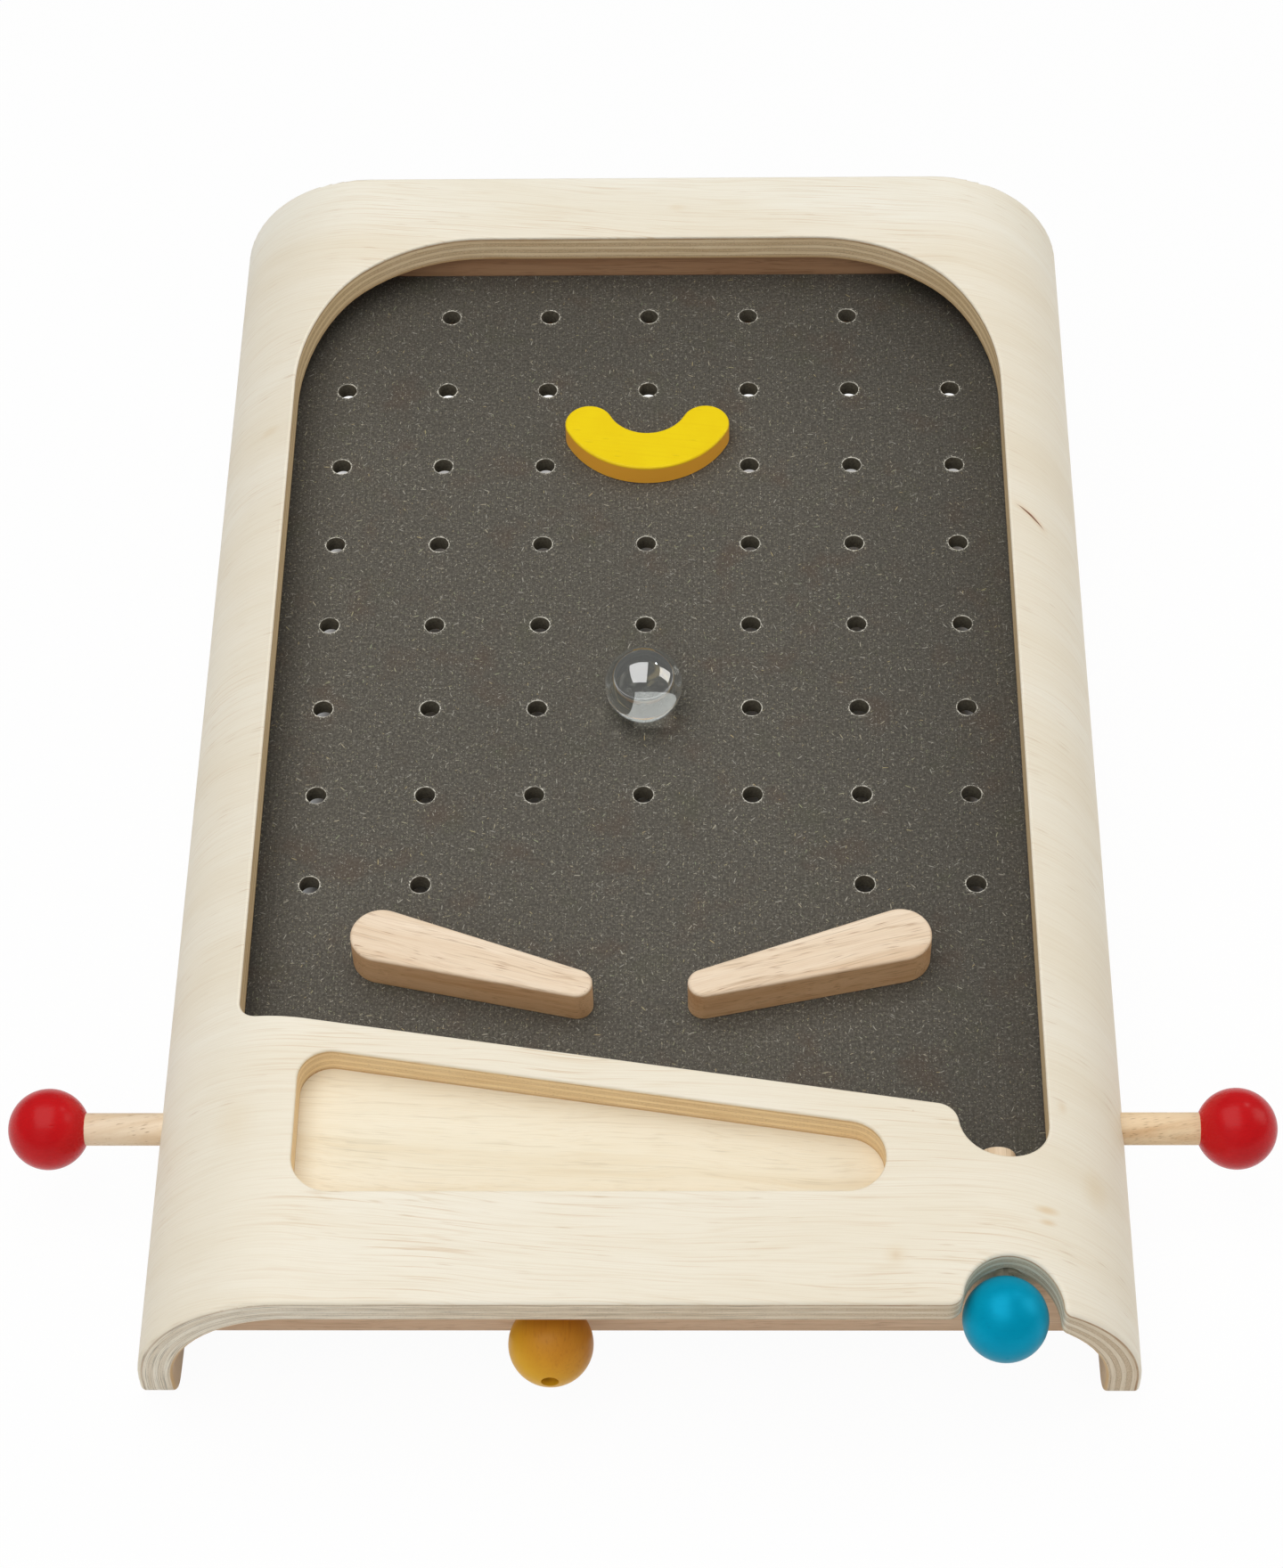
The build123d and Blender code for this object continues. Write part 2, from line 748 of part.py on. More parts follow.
tilted = {name: Rot(slope, 0, 0) * piece for name, piece in all_pieces().items()}
boxes = [piece.bounding_box() for piece in tilted.values()]
middle = (min(box.min.Y for box in boxes) + max(box.max.Y for box in boxes)) / 2
lift = -(shell_front * sin(radians(slope)) + table_at_front * cos(radians(slope)))
print(f"moved by {-middle:.4f} mm along y and {lift:.4f} mm along z")

os.makedirs("parts", exist_ok=True)
for name, piece in tilted.items():
    export_step(Pos(0, -middle, lift) * piece, f"parts/{name}.step")
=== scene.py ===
import json
import math
import bmesh
import bpy
from mathutils import Matrix, Vector

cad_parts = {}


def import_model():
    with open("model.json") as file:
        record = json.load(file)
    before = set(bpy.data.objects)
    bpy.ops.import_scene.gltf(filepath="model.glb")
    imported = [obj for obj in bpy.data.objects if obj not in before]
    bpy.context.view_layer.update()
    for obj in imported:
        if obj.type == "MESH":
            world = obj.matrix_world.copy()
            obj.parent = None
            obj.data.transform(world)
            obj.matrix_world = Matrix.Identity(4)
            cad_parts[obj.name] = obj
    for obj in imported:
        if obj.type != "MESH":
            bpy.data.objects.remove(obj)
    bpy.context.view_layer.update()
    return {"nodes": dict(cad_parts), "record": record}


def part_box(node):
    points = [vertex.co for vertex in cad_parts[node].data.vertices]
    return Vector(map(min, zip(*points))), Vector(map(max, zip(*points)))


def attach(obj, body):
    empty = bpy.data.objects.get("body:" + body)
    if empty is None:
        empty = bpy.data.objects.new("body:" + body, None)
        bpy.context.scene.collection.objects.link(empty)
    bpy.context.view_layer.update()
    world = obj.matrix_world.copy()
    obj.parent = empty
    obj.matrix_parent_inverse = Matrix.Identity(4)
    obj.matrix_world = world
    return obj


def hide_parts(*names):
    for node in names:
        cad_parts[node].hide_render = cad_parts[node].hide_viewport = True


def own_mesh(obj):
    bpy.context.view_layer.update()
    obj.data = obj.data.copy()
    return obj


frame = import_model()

nodes = frame["nodes"]
scene = bpy.context.scene

# The board's own frame inside the row frame: tilted by the slope, in millimetres
MM_PER_M = 1000
SLOPE = math.radians(8.0)
SHIFT_Y, SHIFT_Z = 70.5544, 81.2652
COS, SIN = math.cos(SLOPE), math.sin(SLOPE)

# Values of the pattern helpers
NOISE_MEAN = 0.5
HALF_STEP = 0.5
CONTOUR_DETAIL = 1.5
DASH_EDGE = 1.8
FLECK_TAPER, FLECK_EDGE = 0.4, 0.3


def world(x, y, z):
    """Point of the board's frame, in millimetres, as a point of the row frame in metres."""
    return Vector((x, y * COS - z * SIN + SHIFT_Y, y * SIN + z * COS + SHIFT_Z)) / MM_PER_M


def srgb(r, g, b):
    """Linear colour of an 8-bit display colour."""
    out = []
    for c in (r, g, b):
        c = c / 255
        out.append(c / 12.92 if c <= 0.04045 else ((c + 0.055) / 1.055) ** 2.4)
    return (*out, 1.0)


class Graph:
    """Small helper that builds one node material."""

    def __init__(self, name):
        self.mat = bpy.data.materials.new(name)
        self.mat.use_nodes = True
        self.tree = self.mat.node_tree
        self.tree.nodes.clear()
        self.out = self.tree.nodes.new("ShaderNodeOutputMaterial")

    def put(self, socket, value):
        if isinstance(value, bpy.types.NodeSocket):
            self.tree.links.new(value, socket)
        else:
            socket.default_value = value

    def node(self, kind, **settings):
        made = self.tree.nodes.new(kind)
        for key, value in settings.items():
            setattr(made, key, value)
        return made

    def math(self, op, a, b=0.0):
        made = self.node("ShaderNodeMath", operation=op)
        self.put(made.inputs[0], a)
        self.put(made.inputs[1], b)
        return made.outputs[0]

    def add(self, a, b):
        return self.math("ADD", a, b)

    def sub(self, a, b):
        return self.math("SUBTRACT", a, b)

    def mul(self, a, b):
        return self.math("MULTIPLY", a, b)

    def most(self, a, b):
        return self.math("MAXIMUM", a, b)

    def least(self, a, b):
        return self.math("MINIMUM", a, b)

    def absolute(self, a):
        return self.math("ABSOLUTE", a)

    def hypot(self, a, b):
        return self.math("SQRT", self.add(self.mul(a, a), self.mul(b, b)))

    def span(self, value, lo, hi, to_lo=0.0, to_hi=1.0):
        """Value mapped from lo..hi to another range with a smooth step."""
        made = self.node("ShaderNodeMapRange", interpolation_type="SMOOTHSTEP", clamp=True)
        for i, v in enumerate((value, lo, hi, to_lo, to_hi)):
            self.put(made.inputs[i], v)
        return made.outputs[0]

    def fade(self, value, lo, hi):
        """One up to lo, and smoothly down to nothing at hi."""
        return self.span(value, lo, hi, 1.0, 0.0)

    def xyz(self, x, y, z):
        made = self.node("ShaderNodeCombineXYZ")
        for i, v in enumerate((x, y, z)):
            self.put(made.inputs[i], v)
        return made.outputs[0]

    def split(self, vector):
        made = self.node("ShaderNodeSeparateXYZ")
        self.put(made.inputs[0], vector)
        return made.outputs[0], made.outputs[1], made.outputs[2]

    def board_point(self):
        """Shading point in the board's frame, in millimetres, at rest."""
        coords = self.node("ShaderNodeTexCoord")
        turn = self.node("ShaderNodeMapping", vector_type="POINT")
        turn.inputs["Scale"].default_value = (MM_PER_M, MM_PER_M, MM_PER_M)
        turn.inputs["Rotation"].default_value = (-SLOPE, 0, 0)
        turn.inputs["Location"].default_value = (
            0,
            -(COS * SHIFT_Y + SIN * SHIFT_Z),
            -(COS * SHIFT_Z - SIN * SHIFT_Y),
        )
        self.put(turn.inputs[0], coords.outputs["Object"])
        return turn.outputs[0]

    def placed(self, vector, turn=(0, 0, 0), move=(0, 0, 0), scale=(1, 1, 1)):
        """Vector turned (degrees), moved and then stretched."""
        first = self.node("ShaderNodeMapping", vector_type="POINT")
        first.inputs["Rotation"].default_value = [math.radians(v) for v in turn]
        first.inputs["Location"].default_value = move
        self.put(first.inputs[0], vector)
        second = self.node("ShaderNodeMapping", vector_type="POINT")
        second.inputs["Scale"].default_value = scale
        self.put(second.inputs[0], first.outputs[0])
        return second.outputs[0]

    def noise(self, vector, scale=1.0, detail=2.0, rough=0.5):
        made = self.node("ShaderNodeTexNoise", noise_dimensions="3D")
        self.put(made.inputs["Vector"], vector)
        made.inputs["Scale"].default_value = scale
        made.inputs["Detail"].default_value = detail
        made.inputs["Roughness"].default_value = rough
        return made.outputs["Fac"]

    def streaks(self, vector, scale, detail=2.0, rough=0.5, move=(0, 0, 0)):
        """Noise with a scale of its own for each axis."""
        return self.noise(self.placed(vector, move=move, scale=scale), 1.0, detail, rough)

    def sway(self, noise, reach):
        """Offset to both sides of nothing that follows a noise."""
        return self.mul(self.sub(noise, NOISE_MEAN), reach)

    def contours(self, vector, scale, levels, width):
        """Thin lines along even levels of a noise, as growth rings show on a cut face."""
        level = self.mul(self.streaks(vector, scale, CONTOUR_DETAIL), levels)
        return self.fade(self.math("PINGPONG", level, HALF_STEP), 0.0, width)

    def dashes(self, vector, scale, share, size):
        """Short dashes: a share of the cells of a stretched cell pattern."""
        made = self.node("ShaderNodeTexVoronoi", voronoi_dimensions="3D", feature="F1")
        self.put(made.inputs["Vector"], self.placed(vector, scale=scale))
        made.inputs["Scale"].default_value = 1.0
        chosen = self.math("LESS_THAN", self.split(made.outputs["Color"])[0], share)
        return self.mul(self.fade(made.outputs["Distance"], 0.0, size * DASH_EDGE), chosen)

    def flecks(self, vector, size, length, width, share):
        """Flecks that each lie their own way, in a share of the cells, and a random value for each."""
        made = self.node("ShaderNodeTexVoronoi", voronoi_dimensions="2D", feature="F1")
        self.put(made.inputs["Vector"], vector)
        made.inputs["Scale"].default_value = 1 / size
        pick, angle, tint = self.split(made.outputs["Color"])
        away = self.node("ShaderNodeVectorMath", operation="SUBTRACT")
        self.put(away.inputs[0], vector)
        self.put(away.inputs[1], made.outputs["Position"])
        dx, dy, _ = self.split(away.outputs[0])
        angle = self.mul(angle, 2 * math.pi)
        c, s = self.math("COSINE", angle), self.math("SINE", angle)
        along = self.absolute(self.add(self.mul(dx, c), self.mul(dy, s)))
        across = self.absolute(self.sub(self.mul(dy, c), self.mul(dx, s)))
        mask = self.fade(along, length * FLECK_TAPER, length)
        mask = self.mul(mask, self.fade(across, width * FLECK_EDGE, width))
        return self.mul(mask, self.math("LESS_THAN", pick, share)), tint

    def ramp(self, fac, places, colours):
        made = self.node("ShaderNodeValToRGB")
        ramp = made.color_ramp
        while len(ramp.elements) < len(places):
            ramp.elements.new(0.5)
        for element, place, colour in zip(ramp.elements, places, colours):
            element.position = place
            element.color = colour
        self.put(made.inputs[0], fac)
        return made.outputs[0]

    def mix(self, fac, a, b, blend="MIX"):
        made = self.node("ShaderNodeMix", data_type="RGBA", blend_type=blend)
        made.clamp_factor = True
        self.put(made.inputs[0], fac)
        self.put(made.inputs[6], a)
        self.put(made.inputs[7], b)
        return made.outputs[2]

    def washed(self, fac, colour, wash):
        """Colour multiplied by a wash, as far as a factor says."""
        return self.mix(fac, colour, self.mix(1.0, colour, wash, blend="MULTIPLY"))

    def tone(self, colour, factor):
        """Colour times a grey factor."""
        made = self.node("ShaderNodeVectorMath", operation="SCALE")
        self.put(made.inputs[0], colour[:3] if isinstance(colour, tuple) else colour)
        self.put(made.inputs["Scale"], factor)
        return made.outputs[0]

    def bump(self, height, distance, strength):
        made = self.node("ShaderNodeBump")
        made.inputs["Strength"].default_value = strength
        made.inputs["Distance"].default_value = distance
        self.put(made.inputs["Height"], height)
        return made.outputs[0]

    def surface(self, colour, rough, normal=None, metal=0.0, spec=0.5, **more):
        made = self.node("ShaderNodeBsdfPrincipled")
        self.put(made.inputs["Base Color"], colour)
        self.put(made.inputs["Roughness"], rough)
        made.inputs["Metallic"].default_value = metal
        made.inputs["Specular IOR Level"].default_value = spec
        for key, value in more.items():
            self.put(made.inputs[key], value)
        if normal is not None:
            self.put(made.inputs["Normal"], normal)
        self.put(self.out.inputs["Surface"], made.outputs[0])
        return self.mat


# Bent sheet of the shell, in millimetres: axis and outer radius of its bends, thickness, plies and skin
BEND_X, BEND_Z, BEND_R = 100.5, -27.5, 47.5
SHEET, PLIES = 10.5, 7
MEAN_R = BEND_R - SHEET / 2
SKIN_FROM, SKIN_TO = 0.75, 1.05
NEARLY_ZERO = 0.0001

# Veneer: noises stretched across the bends, along the shell and into the sheet
GRAIN_LEAN = 0.07
VENEER_WAVE, WAVE_REACH = (0.007, 0.012, 0.02), 20.0
VENEER_BROAD = (0.008, 0.04, 0.02)
VENEER_PATCH = (0.02, 0.03, 0.02)
VENEER_FINE = (0.05, 2.2, 0.2)
VENEER_HAIR, HAIR_MOVE = (0.024, 1.5, 0.2), (40, 9, 0)
VENEER_PORE, PORE_SHARE, PORE_SIZE = (0.09, 1.1, 0.4), 0.16, 0.20

# Veneer: the band of each noise that shows, from where to where, and how much of it
FINE_BAND = (0.42, 0.68, 0.0, 0.20)
HAIR_BAND, HAIR_PATCH, HAIR_WEIGHT = (0.57, 0.70), (0.36, 0.64, 0.25, 1.0), 0.42
PORE_PATCH, PORE_WEIGHT = (0.38, 0.62), 0.40

# Veneer: calmer lines where it bends away from the middle, and a whiter strip along the back, in millimetres
BEND_CALM = (96.0, 124.0, 1.0, 0.45)
BACK_STRIP, BACK_WASH = (118.0, 150.0), (1.02, 1.05, 1.09, 1.0)

# Veneer: colours
VENEER_STOPS = (0.28, 0.5, 0.72)
VENEER = (srgb(236, 225, 203), srgb(240, 231, 212), srgb(243, 236, 220))
FINE_TINT = srgb(221, 204, 175)
HAIR_TINT = srgb(204, 168, 122)
PORE_TINT = srgb(188, 150, 108)

# Growth lines of the veneer: scale along the shell, levels, width, where they show, weight and colour
VEIN_ACROSS, VEIN_DEPTH = 0.006, 0.05
VEIN_PART_ACROSS, VEIN_PART_MOVE = 0.018, (90, 3)
VEINS = (
    (0.16, 9.0, 0.16, (0.40, 0.62), 0.20, srgb(216, 192, 155)),
    (0.36, 7.0, 0.13, (0.46, 0.66), 0.22, srgb(205, 178, 138)),
)

# Knots and flecks of this veneer: place in the flat sheet, size, height to width, strength and colour
FRAY = 3.0
MARKS = (
    (74.6, -283.6, 5.0, 1.0, 0.34, srgb(222, 197, 158)),
    (74.6, -283.6, 2.2, 1.0, 0.22, srgb(205, 174, 132)),
    (124.3, -229.8, 2.6, 1.4, 0.40, srgb(222, 196, 158)),
    (117.4, -266.9, 4.6, 0.42, 0.55, srgb(220, 188, 138)),
    (117.5, -270.9, 3.6, 0.42, 0.55, srgb(218, 186, 138)),
    (134.5, -254.0, 7.0, 1.3, 0.30, srgb(222, 198, 156)),
    (81.1, -235.3, 0.8, 1.0, 0.60, srgb(176, 138, 98)),
    (-118.0, -236.0, 9.0, 1.6, 0.20, srgb(226, 204, 166)),
    (-128.0, 42.0, 5.0, 0.5, 0.30, srgb(220, 196, 156)),
    (10.0, 139.0, 4.6, 0.5, 0.26, srgb(222, 198, 160)),
)

# Short dark streak on the right: place in the flat sheet, direction, bow, taper and the halo round it
SCAR_RUN, SCAR_Y = 127.9, 2.7
SCAR_COS, SCAR_SIN = 0.87, 0.49
SCAR_BOW = 0.012
SCAR_WIDE, SCAR_NARROW, SCAR_EDGE = 0.75, 0.12, 0.25
SCAR_BLUNT, SCAR_HALF = 4.0, 6.8
HALO_ACROSS, HALO_ALONG, HALO_WEIGHT = (0.3, 2.4), (3.0, 9.0), 0.35
SCAR_TINT, HALO_TINT = srgb(128, 78, 46), srgb(222, 190, 150)


def veneer(g, run, y, depth, far):
    """Face veneer with thin grain lines, nearly square to the long sides, in loose waves."""
    lean = g.add(y, g.mul(run, GRAIN_LEAN))
    wave = g.streaks(g.xyz(run, lean, depth), VENEER_WAVE)
    lean = g.add(lean, g.sway(wave, WAVE_REACH))
    flow = g.xyz(run, lean, depth)
    broad = g.streaks(flow, VENEER_BROAD, detail=3.0)
    patch = g.streaks(flow, VENEER_PATCH)
    fine = g.streaks(flow, VENEER_FINE, detail=3.0, rough=0.6)
    calm = g.span(far, *BEND_CALM)
    face = g.ramp(broad, VENEER_STOPS, VENEER)
    face = g.mix(g.span(fine, *FINE_BAND), face, FINE_TINT)
    for along, levels, width, band, weight, colour in VEINS:
        line = g.contours(flow, (VEIN_ACROSS, along, VEIN_DEPTH), levels, width)
        move = (along * VEIN_PART_MOVE[0], VEIN_PART_MOVE[1], 0)
        part = g.streaks(flow, (VEIN_PART_ACROSS, along, VEIN_DEPTH), move=move)
        face = g.mix(g.mul(g.mul(line, g.span(part, *band)), g.mul(calm, weight)), face, colour)
    hair = g.streaks(flow, VENEER_HAIR, detail=1.5, move=HAIR_MOVE)
    hair = g.mul(g.span(hair, *HAIR_BAND), g.span(patch, *HAIR_PATCH))
    face = g.mix(g.mul(hair, g.mul(calm, HAIR_WEIGHT)), face, HAIR_TINT)
    pore = g.dashes(flow, VENEER_PORE, PORE_SHARE, PORE_SIZE)
    face = g.mix(g.mul(g.mul(pore, g.span(patch, *PORE_PATCH)), PORE_WEIGHT), face, PORE_TINT)
    face = g.washed(g.span(y, *BACK_STRIP), face, BACK_WASH)

    fray = g.sway(patch, FRAY)
    for run_0, y_0, size, flat, strength, colour in MARKS:
        off = g.hypot(g.sub(run, run_0), g.mul(g.sub(y, y_0), 1 / flat))
        spot = g.fade(g.add(off, fray), 0.0, size)
        face = g.mix(g.mul(spot, strength), face, colour)
    return scarred(g, face, g.sub(run, SCAR_RUN), g.sub(y, SCAR_Y)), fine, pore


def scarred(g, face, du, dv):
    """Face with the short dark streak, from the offsets to the streak's middle."""
    along = g.sub(g.mul(du, SCAR_COS), g.mul(dv, SCAR_SIN))
    across = g.add(g.mul(du, SCAR_SIN), g.mul(dv, SCAR_COS))
    across = g.absolute(g.add(across, g.mul(g.mul(along, along), SCAR_BOW)))
    along = g.absolute(along)
    taper = g.span(along, 0.0, SCAR_HALF, SCAR_WIDE, SCAR_NARROW)
    scar = g.fade(g.math("DIVIDE", across, taper), SCAR_EDGE, 1.0)
    scar = g.mul(scar, g.fade(along, SCAR_BLUNT, SCAR_HALF))
    halo = g.mul(g.fade(across, *HALO_ACROSS), g.fade(along, *HALO_ALONG))
    face = g.mix(g.mul(halo, HALO_WEIGHT), face, HALO_TINT)
    return g.mix(scar, face, SCAR_TINT)


# Cut edges: noises stretched across the bends, along the shell and into the sheet
PLY_WOBBLE, WOBBLE_REACH = (0.03, 0.03, 0.0), 0.7
EDGE_FIBRE = (0.06, 0.06, 3.0)
EDGE_SPECK = (1.6, 1.6, 3.0)
EDGE_BROKEN = (0.12, 0.12, 0.5)
EDGE_STAIN = (0.02, 0.02, 0.25)
EDGE_THREAD = (0.05, 0.05, 4.2)
EDGE_DOTS, DOTS_SHARE, DOTS_SIZE, DOTS_WEIGHT = (0.9, 0.9, 3.2), 0.20, 0.24, 0.45

# Cut edges: plies, glue lines, stains and threads, and where each shows
PLY_CHANGE = (0.42, 0.58)
LONG_STOPS, END_STOPS = (0.3, 0.52, 0.72), (0.3, 0.52, 0.74)
LONG_GRAIN = (srgb(216, 199, 172), srgb(229, 214, 190), srgb(237, 225, 204))
END_GRAIN = (srgb(190, 168, 138), srgb(208, 188, 160), srgb(222, 204, 178))
GLUE_WIDTH, GLUE_BROKEN, GLUE_TINT = 0.13, (0.35, 0.62, 0.15, 0.62), srgb(142, 110, 78)
STAIN_BAND, STAIN_TINT = (0.45, 0.72, 0.0, 0.30), srgb(190, 160, 122)
FIRST_DEPTH, FIRST_WIDTH = 1.25, (0.1, 0.4)
FIRST_BROKEN, FIRST_TINT = (0.3, 0.6, 0.3, 0.8), srgb(170, 132, 98)
THREAD_BAND, THREAD_TINT = (0.53, 0.64, 0.0, 0.70), srgb(140, 126, 108)
DOTS_TINT = srgb(128, 100, 74)

# Cut edges: zones along the shell and across it, in millimetres, and the washes there; the lift and warm wash
# inside the opening and the wash in the notch are painted light
FRONT_END, BACK_END = (-268.0, -262.0), (138.0, 146.0)
GREY_SIDE, GREY_CALM = (20.0, 100.0), 0.48
QUIET_ZONE = (-200.0, -180.0, 0.5, 0.12)
INSIDE_LIGHT_LIFT, INSIDE_BOUNCE_WASH = 1.22, srgb(250, 240, 216)
REAR_ZONE, REAR_WASH = (100.0, 118.0), (1.05, 1.08, 1.18, 1.0)
FOOT_SIDE, FOOT_WASH = (-110.0, -20.0), (1.11, 1.19, 1.30, 1.0)
NOTCH_X, NOTCH_Y, NOTCH_REACH = 107.9, -297.6, (15.0, 16.5)
NOTCH_LIGHT_WASH = (1.18, 1.20, 1.24, 1.0)


def cut_edge(g, x, run, y, depth):
    """Plies that alternate between long grain and end grain, with thin glue lines, and painted light on the
    cut edges inside the opening and in the notch.
    """
    sheet = g.xyz(run, y, depth)
    wobble = g.streaks(sheet, PLY_WOBBLE)
    ply = g.mul(g.add(depth, g.sway(wobble, WOBBLE_REACH)), PLIES / SHEET)
    even = g.span(g.math("PINGPONG", g.add(ply, HALF_STEP), 1.0), *PLY_CHANGE)
    seam = g.math("PINGPONG", ply, HALF_STEP)
    fibre = g.streaks(sheet, EDGE_FIBRE, detail=3.0, rough=0.6)
    speck = g.streaks(sheet, EDGE_SPECK, rough=0.6)
    broken = g.streaks(sheet, EDGE_BROKEN, rough=0.6)
    stain = g.streaks(sheet, EDGE_STAIN, detail=3.0, rough=0.6)
    thread = g.streaks(sheet, EDGE_THREAD, rough=0.6)
    dots = g.dashes(sheet, EDGE_DOTS, DOTS_SHARE, DOTS_SIZE)

    inside = g.mul(g.span(y, *FRONT_END), g.fade(y, *BACK_END))
    grey = g.mul(g.fade(y, *FRONT_END), g.fade(x, *GREY_SIDE))
    quiet = g.mul(inside, g.span(y, *QUIET_ZONE))
    strong = g.sub(1.0, g.add(quiet, g.mul(grey, GREY_CALM)))

    long_grain = g.ramp(fibre, LONG_STOPS, LONG_GRAIN)
    end_grain = g.ramp(speck, END_STOPS, END_GRAIN)
    cut = g.mix(g.mul(even, strong), long_grain, end_grain)
    glue = g.mul(g.fade(seam, 0.0, GLUE_WIDTH), g.span(broken, *GLUE_BROKEN))
    cut = g.mix(g.mul(glue, strong), cut, GLUE_TINT)
    cut = g.mix(g.span(stain, *STAIN_BAND), cut, STAIN_TINT)
    first = g.fade(g.absolute(g.sub(depth, FIRST_DEPTH)), *FIRST_WIDTH)
    first = g.mul(first, g.span(broken, *FIRST_BROKEN))
    cut = g.mix(g.mul(first, strong), cut, FIRST_TINT)
    cut = g.mix(g.mul(dots, DOTS_WEIGHT), cut, DOTS_TINT)

    # Painted light: cut edges away from the front and back ends, the opening's walls among them, are lifted
    # and warmed as by light thrown back from the tray
    bounce_lit = g.mix(1.0, g.tone(cut, INSIDE_LIGHT_LIFT), INSIDE_BOUNCE_WASH, blend="MULTIPLY")
    cut = g.mix(inside, cut, bounce_lit)
    cut = g.washed(g.mul(inside, g.span(y, *REAR_ZONE)), cut, REAR_WASH)
    cut = g.mix(g.mul(grey, g.span(thread, *THREAD_BAND)), cut, THREAD_TINT)
    cut = g.washed(g.mul(grey, g.fade(x, *FOOT_SIDE)), cut, FOOT_WASH)
    # Painted light: the cut edges of the notch, shaded by the blue knob, are lifted
    notch = g.fade(g.hypot(g.sub(x, NOTCH_X), g.sub(y, NOTCH_Y)), *NOTCH_REACH)
    return g.washed(notch, cut, NOTCH_LIGHT_WASH), fibre, seam


# Sheen and relief that the plywood and the solid woods share, and the plywood's own
WOOD_BUMP, WOOD_BUMP_STRENGTH, WOOD_SPEC = 0.00012, 0.4, 0.3
CUT_ROUGH, FINE_ROUGH, SKIN_ROUGH = 0.62, 0.12, -0.14
SEAM_RELIEF = 0.6
INNER_WASH = srgb(226, 198, 160)


def ply_material():
    """Bent plywood: cream face veneer that wraps round the bends, and layered cut edges."""
    g = Graph("bent_plywood")
    x, y, z = g.split(g.board_point())
    far = g.absolute(x)
    aside = g.most(g.sub(far, BEND_X), 0.0)
    above = g.most(g.sub(z, BEND_Z), 0.0)
    depth = g.sub(BEND_R, g.hypot(aside, above))
    turn = g.math("ARCTAN2", aside, g.most(above, NEARLY_ZERO))
    run = g.add(g.least(far, BEND_X), g.mul(turn, MEAN_R))
    run = g.add(run, g.most(g.sub(BEND_Z, z), 0.0))
    run = g.mul(run, g.math("SIGN", x))
    face, fine, pore = veneer(g, run, y, depth, far)
    cut, fibre, seam = cut_edge(g, x, run, y, depth)

    inner = g.span(depth, SHEET - SKIN_TO, SHEET - SKIN_FROM)
    skin = g.most(g.fade(depth, SKIN_FROM, SKIN_TO), inner)
    colour = g.mix(skin, cut, g.washed(inner, face, INNER_WASH))
    rough = g.add(g.mul(skin, SKIN_ROUGH), g.add(CUT_ROUGH, g.mul(fine, FINE_ROUGH)))
    relief = g.mix(skin, g.add(fibre, g.mul(seam, SEAM_RELIEF)), g.sub(fine, pore))
    return g.surface(colour, rough, g.bump(relief, WOOD_BUMP, WOOD_BUMP_STRENGTH), spec=WOOD_SPEC)


# Solid wood: noises along the grain and across it, and where each shows
SEED_STEP = (37.0, 11.0, 5.0)
WOOD_WARP, WARP_Y, WARP_Z = (0.012, 0.05, 0.05), 12.0, 8.0
RING_ALONG, RING_STOPS = 0.006, (0.28, 0.52, 0.76)
WOOD_FINE, WOOD_FINE_BAND = (0.07, 3.0, 3.0), (0.45, 0.70, 0.0, 0.30)
WOOD_PART = (0.03, 0.5, 0.5)
RAY_ALONG, RAY_FINER, RAY_LEVELS, RAY_WIDTH = 0.008, 2.2, 7.0, 0.15
RAY_PART, RAY_TONE = (0.40, 0.64), 0.80
WOOD_STREAK, STREAK_MOVE = (0.04, 2.1, 2.1), (9, 5, 3)
STREAK_BAND, STREAK_PART, STREAK_TONE = (0.56, 0.70), (0.36, 0.60, 0.2, 1.0), 0.72
LONG_CELL, LONG_SHARE = (0.11, 2.6, 2.6), 0.24
CELL_SIZE, CELL_TONE = 0.22, 0.50
TOUCH_EDGE, TOUCH_DROP, TOUCH_TONE, TOUCH_GRAIN = 2.0, 5.0, 0.82, 0.36
WOOD_ROUGH, WOOD_FINE_ROUGH, WOOD_FINE_RELIEF = 0.55, 0.1, 0.5


